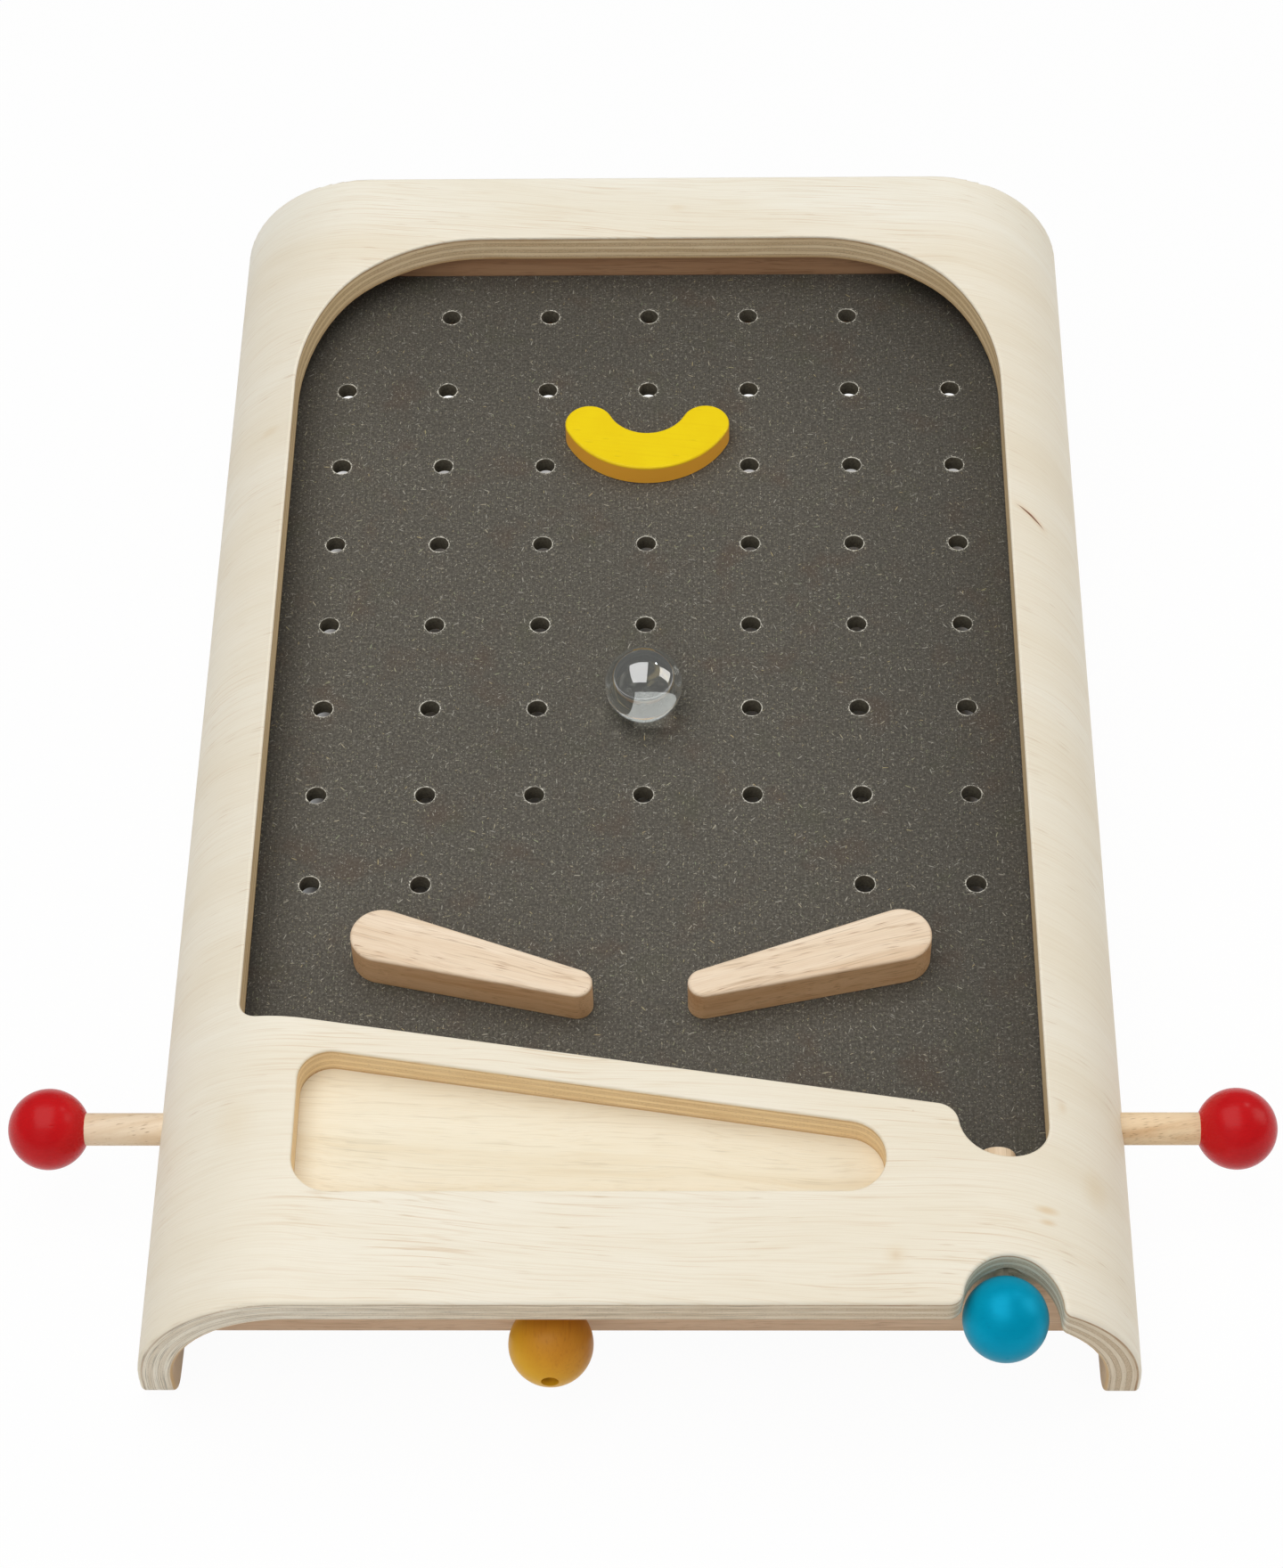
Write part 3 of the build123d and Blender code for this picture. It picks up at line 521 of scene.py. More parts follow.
def wood_material(
    name, light, mid, dark, turn=(0, 0, 0), rings=0.16, pore=0.5, seed=0.0, line=0.45,
    side=None, ink=None, touch=None, cell=LONG_CELL, share=LONG_SHARE,
):
    """Sanded solid wood. The turn brings the grain onto the x axis.

    A side is browner below a level, which on the flippers is painted shade, and a touch is a pale patch round
    a place.
    """
    g = Graph(name)
    point = g.board_point()
    p = g.placed(point, turn=turn, move=[seed * step for step in SEED_STEP])
    warp = g.streaks(p, WOOD_WARP)
    x, y, z = g.split(p)
    flow = g.xyz(x, g.add(y, g.sway(warp, WARP_Y)), g.add(z, g.sway(warp, WARP_Z)))
    band = g.streaks(flow, (RING_ALONG, rings, rings), detail=3.0, rough=0.55)
    fine = g.streaks(flow, WOOD_FINE, detail=3.0, rough=0.6)
    part = g.streaks(flow, WOOD_PART)
    colour = g.ramp(band, RING_STOPS, (light, mid, dark))
    colour = g.mix(g.span(fine, *WOOD_FINE_BAND), colour, dark)
    rays = g.contours(flow, (RAY_ALONG, rings * RAY_FINER, rings * RAY_FINER), RAY_LEVELS, RAY_WIDTH)
    rays = g.mul(rays, g.span(part, *RAY_PART))
    colour = g.mix(g.mul(rays, line), colour, g.tone(dark, RAY_TONE))
    streak = g.streaks(flow, WOOD_STREAK, detail=1.5, move=STREAK_MOVE)
    streak = g.mul(g.span(streak, *STREAK_BAND), g.span(part, *STREAK_PART))
    colour = g.mix(g.mul(streak, line), colour, g.tone(dark, STREAK_TONE))
    if side:
        # On the flippers this is painted shade on their sides below the top
        level, drop, brown = side
        colour = g.washed(g.fade(g.split(point)[2], level - drop, level), colour, brown)
    holes = g.dashes(flow, cell, share, CELL_SIZE)
    colour = g.mix(g.mul(holes, pore), colour, ink or g.tone(dark, CELL_TONE))
    if touch:
        x_0, z_0, reach, pale = touch
        px, _, pz = g.split(point)
        near = g.fade(g.hypot(g.sub(px, x_0), g.sub(pz, z_0)), reach, reach + TOUCH_EDGE)
        near = g.mul(near, g.span(pz, z_0 - TOUCH_DROP, z_0))
        colour = g.mix(near, colour, g.tone(pale, g.add(TOUCH_TONE, g.mul(fine, TOUCH_GRAIN))))
    height = g.sub(g.mul(fine, WOOD_FINE_RELIEF), holes)
    rough = g.add(WOOD_ROUGH, g.mul(fine, WOOD_FINE_ROUGH))
    return g.surface(colour, rough, g.bump(height, WOOD_BUMP, WOOD_BUMP_STRENGTH), spec=WOOD_SPEC)


# Board: scale, detail and roughness of its noises, and where each shows
BOARD_CLOUD, CLOUD_BAND = (0.05, 3.0, 0.55), (0.52, 0.74, 0.0, 0.45)
BOARD_MOSS, MOSS_MOVE, MOSS_BAND = (0.045, 3.0, 0.6), (70, 30, 0), (0.55, 0.76, 0.0, 0.35)
BOARD_GRAIN = (1.1, 3.0, 0.7)
BOARD_PIT, PIT_BAND = (1.7, 2.0, 0.6), (0.60, 0.74, 0.0, 0.55)
BOARD_CHIP = (1.3, 3.0, 0.75)
BOARD_STOPS = (0.30, 0.5, 0.70)
BOARD = (srgb(63, 60, 54), srgb(85, 81, 73), srgb(114, 109, 99))
CLOUD_TINT, MOSS_TINT, PIT_TINT = srgb(88, 72, 60), srgb(80, 80, 62), srgb(50, 47, 42)
BOARD_BUMP, BOARD_BUMP_STRENGTH, BOARD_SPEC = 0.0002, 0.3, 0.25
BOARD_ROUGH, GRAIN_ROUGH = 0.55, 0.2
GRAIN_RELIEF, PIT_RELIEF = 0.7, 0.4

# Board: painted shade, a little darker towards the right, left and back walls of the opening where they shade
# it
SHADE_RIGHT = (30.0, 120.0, 1.0, 0.82)
SHADE_LEFT = (-122.0, -100.0, 0.66, 1.0)
SHADE_BACK = (25.0, 124.0, 1.0, 0.76)

# Fibres of the board: size of a cell, half length, half width, share of the cells and weight
SLIDE_X, SLIDE_Y = 0.6, 0.8
FIBRES = (
    (0.8, 0.24, 0.13, 0.36, 0.50),
    (1.6, 0.46, 0.15, 0.28, 0.66),
    (3.2, 0.76, 0.17, 0.26, 0.78),
    (7.0, 1.25, 0.20, 0.27, 0.86),
)
FIBRE_STOPS = (0.0, 0.50, 0.76, 0.90, 1.0)
FIBRE_TINTS = (
    srgb(146, 143, 134),
    srgb(180, 176, 164),
    srgb(184, 173, 146),
    srgb(152, 160, 128),
    srgb(192, 170, 124),
)

# Peg holes: pitch and radius, and lines between the rows that bound the places without a hole
PITCH, HOLE_R = 35.0, 3.25
CORNER_X, CORNER_Y = 2.5 * PITCH, 2.5 * PITCH
PARTED_X, PARTED_Y = 1.5 * PITCH, -3.5 * PITCH
OUTSIDE_X, OUTSIDE_Y = 3.5 * PITCH, -4.5 * PITCH

# Rims of the peg holes: ragged ring with gaps, burrs round it, and the bore below the top, coloured lighter
# than the board as painted light inside the holes
RAGGED = 1.5
RIM_FROM, RIM_TO = (HOLE_R - 0.40, HOLE_R - 0.1), (HOLE_R + 0.10, HOLE_R + 0.32)
RIM_GAPS, GAP_BAND = (0.42, 1.0, 0.5), (0.38, 0.60, 0.32, 1.0)
RIM_BURRS, BURR_MOVE, BURR_BAND = (2.3, 1.0, 0.5), (5, 7, 0), (0.62, 0.70)
BURR_REACH = (HOLE_R + 0.5, HOLE_R + 1.2)
BORE_REACH, TOP_EDGE = (HOLE_R, HOLE_R + 0.1), (-0.5, -0.1)
RIM_TINT = srgb(222, 218, 204)
BORE_STOPS, BORE = (0.35, 0.65), (srgb(82, 76, 65), srgb(116, 110, 95))


def board_material():
    """Dark pressed composite with light and golden fibres, pale chipped rims at the peg holes, painted shade
    near the walls and painted light in the bores.
    """
    g = Graph("dark_composite")
    p = g.board_point()
    x, y, z = g.split(p)
    far = g.absolute(x)
    cloud = g.noise(p, *BOARD_CLOUD)
    moss = g.noise(g.placed(p, move=MOSS_MOVE), *BOARD_MOSS)
    grain = g.noise(p, *BOARD_GRAIN)
    pit = g.noise(p, *BOARD_PIT)
    chip = g.noise(p, *BOARD_CHIP)
    base = g.ramp(grain, BOARD_STOPS, BOARD)
    base = g.mix(g.span(cloud, *CLOUD_BAND), base, CLOUD_TINT)
    base = g.mix(g.span(moss, *MOSS_BAND), base, MOSS_TINT)

    # Fibres: short flecks of several sizes and tints, each lying its own way
    flat = g.xyz(g.add(x, g.mul(z, SLIDE_X)), g.add(y, g.mul(z, SLIDE_Y)), 0.0)
    for size, length, width, share, weight in FIBRES:
        mask, tint = g.flecks(flat, size, length, width, share)
        base = g.mix(g.mul(mask, weight), base, g.ramp(tint, FIBRE_STOPS, FIBRE_TINTS))
    base = g.mix(g.span(pit, *PIT_BAND), base, PIT_TINT)
    # Painted shade towards the walls of the opening
    shade = g.mul(g.span(x, *SHADE_RIGHT), g.span(x, *SHADE_LEFT))
    base = g.tone(base, g.mul(shade, g.span(y, *SHADE_BACK)))

    # Rims and bores of the peg holes, found from the distance to the nearest place of the grid
    off = g.hypot(g.math("PINGPONG", x, PITCH / 2), g.math("PINGPONG", y, PITCH / 2))
    corner = g.mul(g.math("GREATER_THAN", far, CORNER_X), g.math("GREATER_THAN", y, CORNER_Y))
    parted = g.mul(g.math("LESS_THAN", far, PARTED_X), g.math("LESS_THAN", y, PARTED_Y))
    outside = g.most(g.math("GREATER_THAN", far, OUTSIDE_X), g.math("LESS_THAN", y, OUTSIDE_Y))
    field = g.sub(1.0, g.most(g.most(corner, parted), outside))
    ragged = g.add(off, g.sway(chip, RAGGED))
    rim = g.mul(g.span(ragged, *RIM_FROM), g.fade(ragged, *RIM_TO))
    gap = g.span(g.noise(p, *RIM_GAPS), *GAP_BAND)
    burr = g.span(g.noise(g.placed(p, move=BURR_MOVE), *RIM_BURRS), *BURR_BAND)
    burr = g.mul(burr, g.fade(off, *BURR_REACH))
    rim = g.mul(g.most(g.mul(rim, gap), burr), g.mul(g.span(z, *TOP_EDGE), field))
    base = g.mix(rim, base, RIM_TINT)
    # Painted light: the bore walls are lighter to stand in for light inside the holes
    wall = g.mul(g.mul(g.fade(off, *BORE_REACH), g.fade(z, *TOP_EDGE)), field)
    base = g.mix(wall, base, g.ramp(chip, BORE_STOPS, BORE))
    relief = g.sub(g.mul(grain, GRAIN_RELIEF), g.mul(pit, PIT_RELIEF))
    rough = g.add(BOARD_ROUGH, g.mul(grain, GRAIN_ROUGH))
    return g.surface(base, rough, g.bump(relief, BOARD_BUMP, BOARD_BUMP_STRENGTH), spec=BOARD_SPEC)


# Paint: noises, how much of the wood's fibre and pores shows through, and relief
PAINT_FIBRE, PAINT_FIBRE_BAND = (0.03, 1.1, 1.1), (0.48, 0.72)
PAINT_PORE, PAINT_PORE_SHARE, PAINT_PORE_SIZE = (0.20, 0.9, 0.9), 0.14, 0.22
PAINT_PORE_WEIGHT, PAINT_PORE_TONE = 0.5, 0.5
PAINT_CLOUD, PAINT_CLOUD_BAND = (0.09, 2.0, 0.5), (0.35, 0.7, 0.0, 0.4)
PAINT_BUMP, PAINT_BUMP_STRENGTH = 0.00012, 0.35
PAINT_FIBRE_RELIEF, PAINT_FIBRE_ROUGH = 0.6, 0.10


def paint_material(
    name, colour, deep, rough=0.30, turn=(0, 0, 0), grain=0.25, side=None, spec=0.14, metal=0.0,
):
    """Satin paint that lets a little of the wood's grain through. A side has its own colour below a level,
    used as painted shade and painted light on the knobs.
    """
    g = Graph(name)
    point = g.board_point()
    p = g.placed(point, turn=turn)
    fibre = g.streaks(p, PAINT_FIBRE, detail=3.0, rough=0.6)
    pores = g.dashes(p, PAINT_PORE, PAINT_PORE_SHARE, PAINT_PORE_SIZE)
    cloud = g.noise(p, *PAINT_CLOUD)
    base = g.mix(g.span(cloud, *PAINT_CLOUD_BAND), colour, deep)
    base = g.mix(g.span(fibre, *PAINT_FIBRE_BAND, 0.0, grain), base, deep)
    base = g.mix(g.mul(pores, grain * PAINT_PORE_WEIGHT), base, g.tone(deep, PAINT_PORE_TONE))
    # On the knobs the side colour is painted shade low on the blue knob and painted light low on the yellow
    # knob's left
    if side:
        level, drop, lean, other = side
        x, _, z = g.split(point)
        base = g.mix(g.fade(g.add(z, g.mul(x, lean)), level - drop, level), base, other)
    relief = g.sub(g.mul(fibre, PAINT_FIBRE_RELIEF), pores)
    normal = g.bump(relief, PAINT_BUMP, PAINT_BUMP_STRENGTH)
    return g.surface(base, g.add(rough, g.mul(fibre, PAINT_FIBRE_ROUGH)), normal, metal=metal, spec=spec)


# Glass: noise of its tint, two tints, index of refraction and strength of its mirror images
GLASS_CLOUD = (0.12, 2.0, 0.5)
GLASS_TINTS = (srgb(251, 254, 252), srgb(245, 251, 248))
GLASS_IOR, GLASS_SHINE = 1.52, 6.0


def glass_material():
    """Clear glass with a slight green tint."""
    g = Graph("clear_glass")
    tint = g.mix(g.noise(g.board_point(), *GLASS_CLOUD), *GLASS_TINTS)
    shine = (GLASS_SHINE, GLASS_SHINE, GLASS_SHINE, 1)
    more = {"IOR": GLASS_IOR, "Transmission Weight": 1.0, "Specular Tint": shine}
    return g.surface(tint, rough=0.0, **more)


# Steel: fine marks, their darker tone, and relief
STEEL_MARKS, MARKS_BAND, MARKS_TONE = (1.6, 3.0, 0.6), (0.35, 0.7), 0.72
MARKS_ROUGH, STEEL_BUMP, STEEL_BUMP_STRENGTH = 0.2, 0.00005, 0.3


def steel_material(name, colour, rough):
    """Drawn steel with fine marks."""
    g = Graph(name)
    marks = g.noise(g.board_point(), *STEEL_MARKS)
    base = g.mix(g.span(marks, *MARKS_BAND), colour, g.tone(colour, MARKS_TONE))
    normal = g.bump(marks, STEEL_BUMP, STEEL_BUMP_STRENGTH)
    return g.surface(base, g.add(rough, g.mul(marks, MARKS_ROUGH)), normal, metal=1.0)


# Directions of grain, pores and colours that several pieces share: light, middle and dark of a wood
ALONG_Y, ALONG_Z, SLANT = (0, 0, 90), (0, 90, 0), (0, 0, -11)
SHORT_CELL, SHORT_SHARE = (0.26, 1.9, 1.9), 0.45
DOWEL = (srgb(240, 221, 195), srgb(232, 210, 181), srgb(218, 190, 154))
DOWEL_RIGHT = (srgb(242, 218, 184), srgb(235, 208, 170), srgb(214, 176, 133))
# Painted shade: a greyed, darker dowel for the plunger rod
DOWEL_IN_SHADE = (srgb(176, 170, 150), srgb(164, 158, 138), srgb(142, 134, 114))
DOWEL_INK = srgb(158, 120, 82)
DOWEL_RINGS = 0.25
TRAY = (srgb(244, 235, 214), srgb(241, 231, 208), srgb(230, 213, 180))
FRONT_RAIL = (srgb(228, 198, 168), srgb(216, 183, 151), srgb(190, 151, 117))
REAR_RAIL = (srgb(186, 147, 112), srgb(174, 133, 99), srgb(150, 108, 77))
CRANK = (srgb(226, 202, 166), srgb(214, 188, 150), srgb(188, 156, 116))
COLLAR = (srgb(224, 200, 166), srgb(212, 186, 150), srgb(186, 154, 116))
GUIDE = (srgb(218, 190, 154), srgb(206, 176, 138), srgb(180, 146, 108))
FLIPPER = (srgb(243, 224, 200), srgb(235, 213, 186), srgb(214, 180, 144))
FLIPPER_INK = srgb(150, 98, 66)
FLIPPER_DROOP = 16.3

# Sides: the level where each ends and the height over which it fades, for paint also its lean, and a colour;
# the flippers' and the blue knob's sides are painted shade and the yellow knob's is painted light
FLIPPER_SIDE_SHADE = (13.2, 1.4, srgb(236, 212, 184))
BLUE_LOWER_SHADE = (14.0, 14.0, 0.0, srgb(0, 135, 163))
YELLOW_KNOB_LEFT_LIGHT = (-14.0, 17.0, 0.6, srgb(225, 171, 38))
CRESCENT_SIDE = (8.0, 1.4, 0.0, srgb(254, 183, 64))

# Pale patch of the front rail behind the notch: x, z, reach and colour
RAIL_TOUCH = (106.2, 6.0, 14.0, srgb(196, 190, 166))

# One material for each slot of the record, and special ones for single nodes
materials = {
    "ply_veneer": ply_material(),
    "dark_composite": board_material(),
    "tray_panel": wood_material(
        "tray_panel", *TRAY, turn=(0, 0, 3), rings=0.10, pore=0.20, line=0.28, seed=2.0,
    ),
    "dowel_wood": wood_material(
        "dowel_wood", *DOWEL, turn=SLANT, rings=DOWEL_RINGS, pore=0.85, seed=3.0, line=0.2,
        ink=DOWEL_INK, cell=SHORT_CELL, share=SHORT_SHARE,
    ),
    "crank_wood": wood_material("crank_wood", *CRANK, turn=ALONG_Y, seed=7.0),
    "collar_wood": wood_material("collar_wood", *COLLAR, seed=9.0),
    "guide_wood": wood_material("guide_wood", *GUIDE, turn=ALONG_Y, seed=11.0),
    "red_paint": paint_material("red_paint", srgb(197, 20, 25), srgb(178, 12, 18), rough=0.22, spec=0.17),
    "blue_paint": paint_material(
        "blue_paint", srgb(0, 157, 193), srgb(0, 144, 180), rough=0.32, grain=0.35, spec=0.06, metal=0.22,
        # Painted shade on the lower part of the blue knob
        side=BLUE_LOWER_SHADE,
    ),
    # The yellow knob's paint is a deeper orange copy of the crescent's yellow: painted shade for its place
    # under the front edge
    "yellow_knob_paint": paint_material(
        "yellow_knob_paint", srgb(206, 141, 45), srgb(184, 114, 40), turn=ALONG_Y, grain=0.55,
        # Painted light: the yellow knob is lighter and yellower low on its left, towards the light
        side=YELLOW_KNOB_LEFT_LIGHT,
    ),
    "yellow_paint": paint_material(
        "yellow_paint", srgb(240, 210, 14), srgb(233, 198, 8), turn=(0, 0, 8), grain=0.4, side=CRESCENT_SIDE,
    ),
    "clear_glass": glass_material(),
    "spring_steel": steel_material("spring_steel", srgb(190, 190, 192), rough=0.25),
    "pin_steel": steel_material("pin_steel", srgb(178, 178, 180), rough=0.35),
    "screw_steel": steel_material("screw_steel", srgb(196, 194, 186), rough=0.3),
}
dowel_along_y = wood_material(
    "dowel_along_y", *DOWEL, turn=ALONG_Y, rings=DOWEL_RINGS, pore=0.55, seed=6.0,
)
dowel_along_z = wood_material(
    "dowel_along_z", *DOWEL, turn=ALONG_Z, rings=DOWEL_RINGS, pore=0.55, seed=8.0,
)
special = {
    "left_flipper": wood_material(
        "flipper_left", *FLIPPER, turn=(0, 0, FLIPPER_DROOP), rings=0.2, pore=0.8, seed=1.0, line=0.55,
        side=FLIPPER_SIDE_SHADE, ink=FLIPPER_INK,
    ),
    "right_flipper": wood_material(
        "flipper_right", *FLIPPER, turn=(0, 0, -FLIPPER_DROOP), rings=0.2, pore=0.8, seed=4.0, line=0.55,
        side=FLIPPER_SIDE_SHADE, ink=FLIPPER_INK,
    ),
    "front_rail": wood_material("front_rail_hardwood", *FRONT_RAIL, pore=0.55, seed=5.0, touch=RAIL_TOUCH),
    "rear_rail": wood_material("rear_rail_hardwood", *REAR_RAIL, pore=0.55, seed=12.0),
    "right_push_rod": wood_material(
        "dowel_right", *DOWEL_RIGHT, turn=SLANT, rings=DOWEL_RINGS, pore=0.7, seed=3.0, line=0.3,
        ink=DOWEL_INK, cell=SHORT_CELL, share=SHORT_SHARE,
    ),
    # Painted shade: the plunger rod is greyed and darkened where it sits in shade behind the blue knob
    "plunger_rod": wood_material(
        "plunger_dowel_shaded", *DOWEL_IN_SHADE, turn=ALONG_Y, rings=DOWEL_RINGS, seed=6.0,
    ),
    "plunger_head": dowel_along_y,
    "pull_rod": dowel_along_y,
    "left_flipper_shaft": dowel_along_z,
    "right_flipper_shaft": dowel_along_z,
    "obstacle_peg": dowel_along_z,
}
slot_of = {s["node"]: s["material_slot"] for s in frame["record"]["subparts"]}
for name, node in nodes.items():
    material = special.get(name) or materials[slot_of[name]]
    node.data.materials.clear()
    node.data.materials.append(material)

# Springs: the seats, full lengths and squeezed lengths of the CAD coils
OUT = Vector((0, COS, SIN))
RETURN_X, RETURN_Y, RETURN_Z = 34.52, -217.5, -20.0
RETURN_LENGTH, RETURN_SQUEEZED = 39.48, 19.48
PLUNGER_SEAT = (106.2, -275.0, 6.0)
PLUNGER_LENGTH, PLUNGER_SQUEEZED = 25.7, 7.7
LEFT_SEAT, RIGHT_SEAT = world(-RETURN_X, RETURN_Y, RETURN_Z), world(RETURN_X, RETURN_Y, RETURN_Z)
RETURN_KEEP, PLUNGER_KEEP = RETURN_SQUEEZED / RETURN_LENGTH, PLUNGER_SQUEEZED / PLUNGER_LENGTH

# Copies of the coils, fixed to the cabinet in place of the CAD coils
for node, joint, axis, anchor, keep in (
    ("left_return_spring", "left_push_slide", (1, 0, 0), LEFT_SEAT, RETURN_KEEP),
    ("right_return_spring", "right_push_slide", (1, 0, 0), RIGHT_SEAT, RETURN_KEEP),
    ("plunger_spring", "plunger_slide", OUT, world(*PLUNGER_SEAT), PLUNGER_KEEP),
):
    coil = nodes[node].copy()
    coil.data = nodes[node].data.copy()
    coil.name = node + "_coil"
    scene.collection.objects.link(coil)
    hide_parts(node)
    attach(coil, "cabinet")
    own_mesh(coil)

# Marble: a fine ball with a few small air bubbles, whose places and sizes are shares of its radius
AROUND, UPWARDS, BUBBLE_FINE = 192, 96, 3
BUBBLES = (
    (-0.30, -0.22, 0.05, 0.016),
    (-0.10, -0.40, -0.15, 0.010),
    (0.34, 0.10, -0.20, 0.012),
)
low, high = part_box("marble")
centre, radius = (low + high) / 2, (high.z - low.z) / 2
ball_mesh = bpy.data.meshes.new("marble_ball")
solid = bmesh.new()
bmesh.ops.create_uvsphere(solid, u_segments=AROUND, v_segments=UPWARDS, radius=radius)
for x, y, z, size in BUBBLES:
    made = bmesh.ops.create_icosphere(solid, subdivisions=BUBBLE_FINE, radius=radius * size)
    bmesh.ops.translate(solid, verts=made["verts"], vec=Vector((x, y, z)) * radius)
    bmesh.ops.reverse_faces(solid, faces=list({f for v in made["verts"] for f in v.link_faces}))
for f in solid.faces:
    f.smooth = True
solid.to_mesh(ball_mesh)
solid.free()
ball = bpy.data.objects.new("marble_ball", ball_mesh)
scene.collection.objects.link(ball)
ball.location = centre
ball_mesh.materials.append(materials["clear_glass"])
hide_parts("marble")
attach(ball, "ball")

# Floor, in metres: its size, the cabinet's foot, and where it is darker to mirror rays far in front
FLOOR_HALF, FLOOR_DROP = 6.0, 0.0003
FOOT_X, FOOT_BACK, FOOT_FRONT = 0.130, 0.222, -0.150
FOOT_SOFT_X, FOOT_SOFT_BACK, FOOT_SOFT_FRONT = 0.02, 0.03, 0.05
TABLE_END, TABLE_FADE = -0.50, 0.15
PAPER_NOISE, PAPER = (40.0, 3.0, 0.6), (srgb(236, 236, 235), srgb(240, 240, 239))
BEYOND_TINT = srgb(120, 120, 118)
FLOOR_GLOW = 0.96

# A diffuse depth below this is a ray that no rough surface has thrown
NO_BOUNCE = 0.5


def floor_material():
    """White to the camera, in the cabinet's own shade under it, and clear when looked at from below."""
    g = Graph("pale_floor")
    ground = g.node("ShaderNodeTexCoord").outputs["Object"]
    x, y, _ = g.split(ground)
    path = g.node("ShaderNodeLightPath").outputs
    mirrored = g.most(path["Is Glossy Ray"], path["Is Transmission Ray"])
    mirrored = g.mul(mirrored, g.math("LESS_THAN", path["Diffuse Depth"], NO_BOUNCE))
    beyond = g.mul(mirrored, g.fade(y, TABLE_END - TABLE_FADE, TABLE_END))
    plain = g.node("ShaderNodeBsdfDiffuse")
    paper = g.mix(g.noise(ground, *PAPER_NOISE), *PAPER)
    g.put(plain.inputs["Color"], g.mix(beyond, paper, BEYOND_TINT))
    glow = g.node("ShaderNodeEmission")
    glow.inputs["Color"].default_value = (1, 1, 1, 1)

    seen = g.most(g.sub(mirrored, beyond), path["Is Camera Ray"])
    under = g.fade(g.absolute(x), FOOT_X - FOOT_SOFT_X, FOOT_X)
    under = g.mul(under, g.fade(y, FOOT_BACK - FOOT_SOFT_BACK, FOOT_BACK))
    under = g.mul(under, g.span(y, FOOT_FRONT, FOOT_FRONT + FOOT_SOFT_FRONT))
    both = g.node("ShaderNodeMixShader")
    g.put(both.inputs[0], g.mul(g.mul(seen, FLOOR_GLOW), g.sub(1.0, under)))
    g.put(both.inputs[1], plain.outputs[0])
    g.put(both.inputs[2], glow.outputs[0])
    pane = g.node("ShaderNodeMixShader")
    back = g.node("ShaderNodeNewGeometry").outputs["Backfacing"]
    g.put(pane.inputs[0], g.mul(back, path["Is Camera Ray"]))
    g.put(pane.inputs[1], both.outputs[0])
    g.put(pane.inputs[2], g.node("ShaderNodeBsdfTransparent").outputs[0])
    g.put(g.out.inputs["Surface"], pane.outputs[0])
    return g.mat


corners = [(x * FLOOR_HALF, y * FLOOR_HALF, 0) for x, y in ((-1, -1), (1, -1), (1, 1), (-1, 1))]
floor_mesh = bpy.data.meshes.new("floor")
floor_mesh.from_pydata(corners, [], [(0, 1, 2, 3)])
floor = bpy.data.objects.new("floor", floor_mesh)
scene.collection.objects.link(floor)
floor.location.z = -FLOOR_DROP
floor_mesh.materials.append(floor_material())

# World: white background, dimmer as a source of light, and dimmer overhead in reflections
SKY_COLOUR, SKY_LIGHT = (0.99, 0.995, 1.0, 1), 0.33
SKY_RISE, SKY_LOW, SKY_HIGH = 0.06, 1.0, 0.17
sky = bpy.data.worlds.new("studio")
sky.use_nodes = True
scene.world = sky
tree = sky.node_tree
tree.nodes.clear()


def sky_node(kind, *links, **settings):
    """World node with its inputs linked or set in order."""
    made = tree.nodes.new(kind)
    for key, value in settings.items():
        setattr(made, key, value)
    for socket, value in zip(made.inputs, links):
        if isinstance(value, bpy.types.NodeSocket):
            tree.links.new(value, socket)
        elif value is not None:
            socket.default_value = value
    return made


def sky_math(operation, a, b):
    """Result of a world node that works out a sum or a test."""
    return sky_node("ShaderNodeMath", a, b, operation=operation).outputs[0]


rays = sky_node("ShaderNodeLightPath").outputs
direction = sky_node("ShaderNodeTexCoord").outputs["Generated"]
height = sky_node("ShaderNodeSeparateXYZ", direction).outputs[2]
rise = sky_node(
    "ShaderNodeMapRange", height, 0.0, SKY_RISE, SKY_LOW, SKY_HIGH, interpolation_type="SMOOTHSTEP",
)
clear = sky_math("MAXIMUM", rays["Is Glossy Ray"], rays["Is Transmission Ray"])
clear = sky_math("MULTIPLY", clear, sky_math("LESS_THAN", rays["Diffuse Depth"], NO_BOUNCE))
glow = sky_node("ShaderNodeMix", clear, None, SKY_LIGHT, rise.outputs[0]).outputs[0]
glow = sky_math("MAXIMUM", glow, rays["Is Camera Ray"])
shine = sky_node("ShaderNodeBackground", SKY_COLOUR, glow).outputs[0]
sky_node("ShaderNodeOutputWorld", shine)


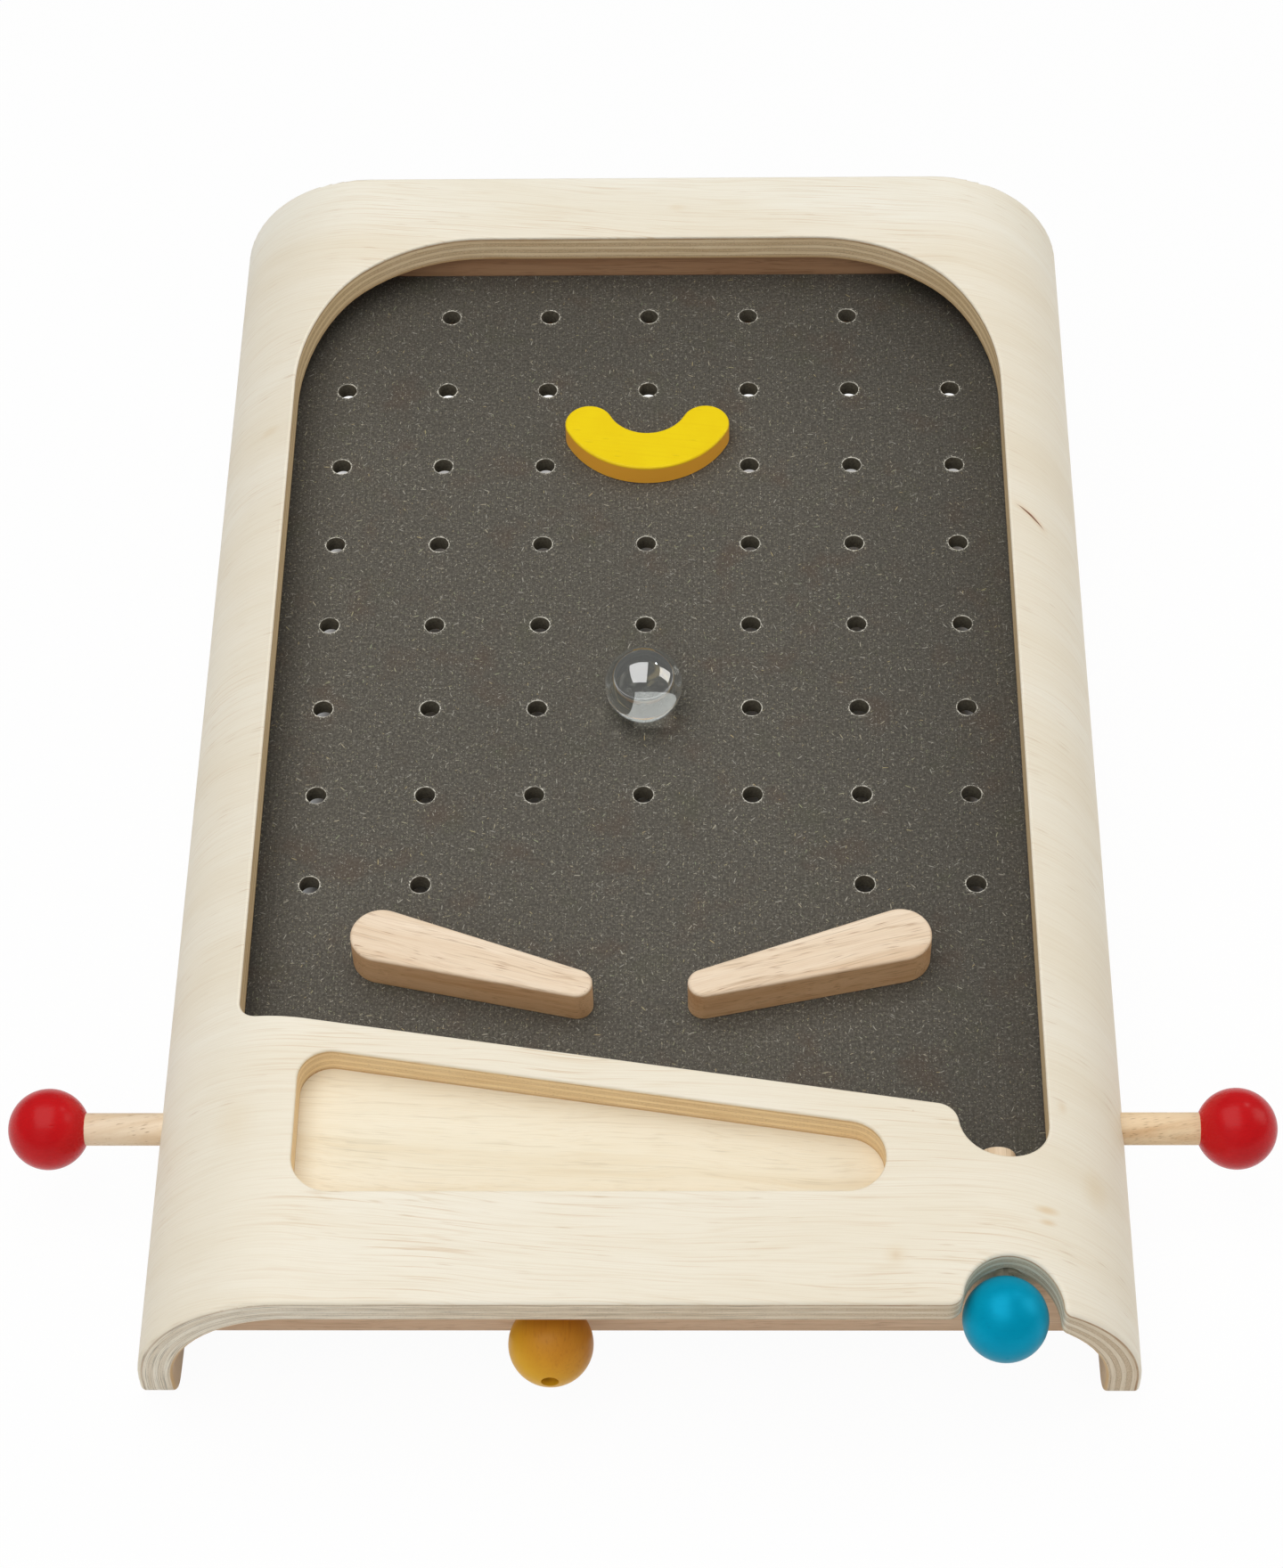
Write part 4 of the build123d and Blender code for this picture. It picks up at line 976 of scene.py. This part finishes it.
def softbox(name, place, target, size, power, colour=(1, 1, 1), hidden=False):
    """Area lamp that faces the target. A hidden one isn't seen in mirrors or through glass."""
    data = bpy.data.lights.new(name, "AREA")
    data.shape = "RECTANGLE"
    data.size, data.size_y = size
    data.energy = power
    data.color = colour
    lamp = bpy.data.objects.new(name, data)
    scene.collection.objects.link(lamp)
    lamp.location = place
    lamp.visible_glossy = not hidden
    lamp.visible_transmission = not hidden
    way = Vector(target) - Vector(place)
    lamp.rotation_mode = "QUATERNION"
    lamp.rotation_quaternion = way.to_track_quat("-Z", "Y")


softbox(
    "overhead_softbox", place=(-0.40, -0.25, 1.53), target=(-0.40, -0.25, 0.0), size=(1.40, 1.85), power=16.6,
    colour=(0.99, 0.99, 0.98),
)
softbox(
    "side_softbox", place=(1.50, 0.22, 0.88), target=(0, 0, 0.06), size=(0.85, 1.0), power=5.9,
    colour=(1.0, 0.965, 0.90),
)
softbox(
    "front_fill", place=(-0.70, -1.90, 1.25), target=(0, 0, 0.05), size=(1.8, 1.4), power=7.5, hidden=True,
)
softbox("back_spot", place=(0.79, 0.70, 1.22), target=(0, 0, 0.09), size=(0.08, 0.08), power=0.9)
scene.cycles.blur_glossy = 0.0

# Camera at the photograph's place, from a fit in the board's frame: focal length in the photo's pixels
PHOTO_HEIGHT, PHOTO_FOCAL, SENSOR = 1760, 4124.17, 36.0
CAMERA_PLACE = (23.34, -801.12, 949.18)
CAMERA_FORWARD, CAMERA_UP = Vector((-0.0203, 0.5936, -0.8045)), Vector((0.0025, 0.8047, 0.5937))
NEAREST, FARTHEST = 0.05, 50.0
camera_data = bpy.data.cameras.new("camera")
camera_data.sensor_width = SENSOR
camera_data.lens = SENSOR * PHOTO_FOCAL / PHOTO_HEIGHT
camera_data.clip_start, camera_data.clip_end = NEAREST, FARTHEST
camera = bpy.data.objects.new("camera", camera_data)
scene.collection.objects.link(camera)
scene.camera = camera
tilt = Matrix.Rotation(SLOPE, 3, "X")
forward, up = (tilt @ CAMERA_FORWARD).normalized(), (tilt @ CAMERA_UP).normalized()
right = forward.cross(up).normalized()
up = right.cross(forward).normalized()
spin = Matrix((right, up, -forward)).transposed().to_4x4()
camera.matrix_world = Matrix.Translation(world(*CAMERA_PLACE)) @ spin

scene.view_settings.view_transform = "Standard"
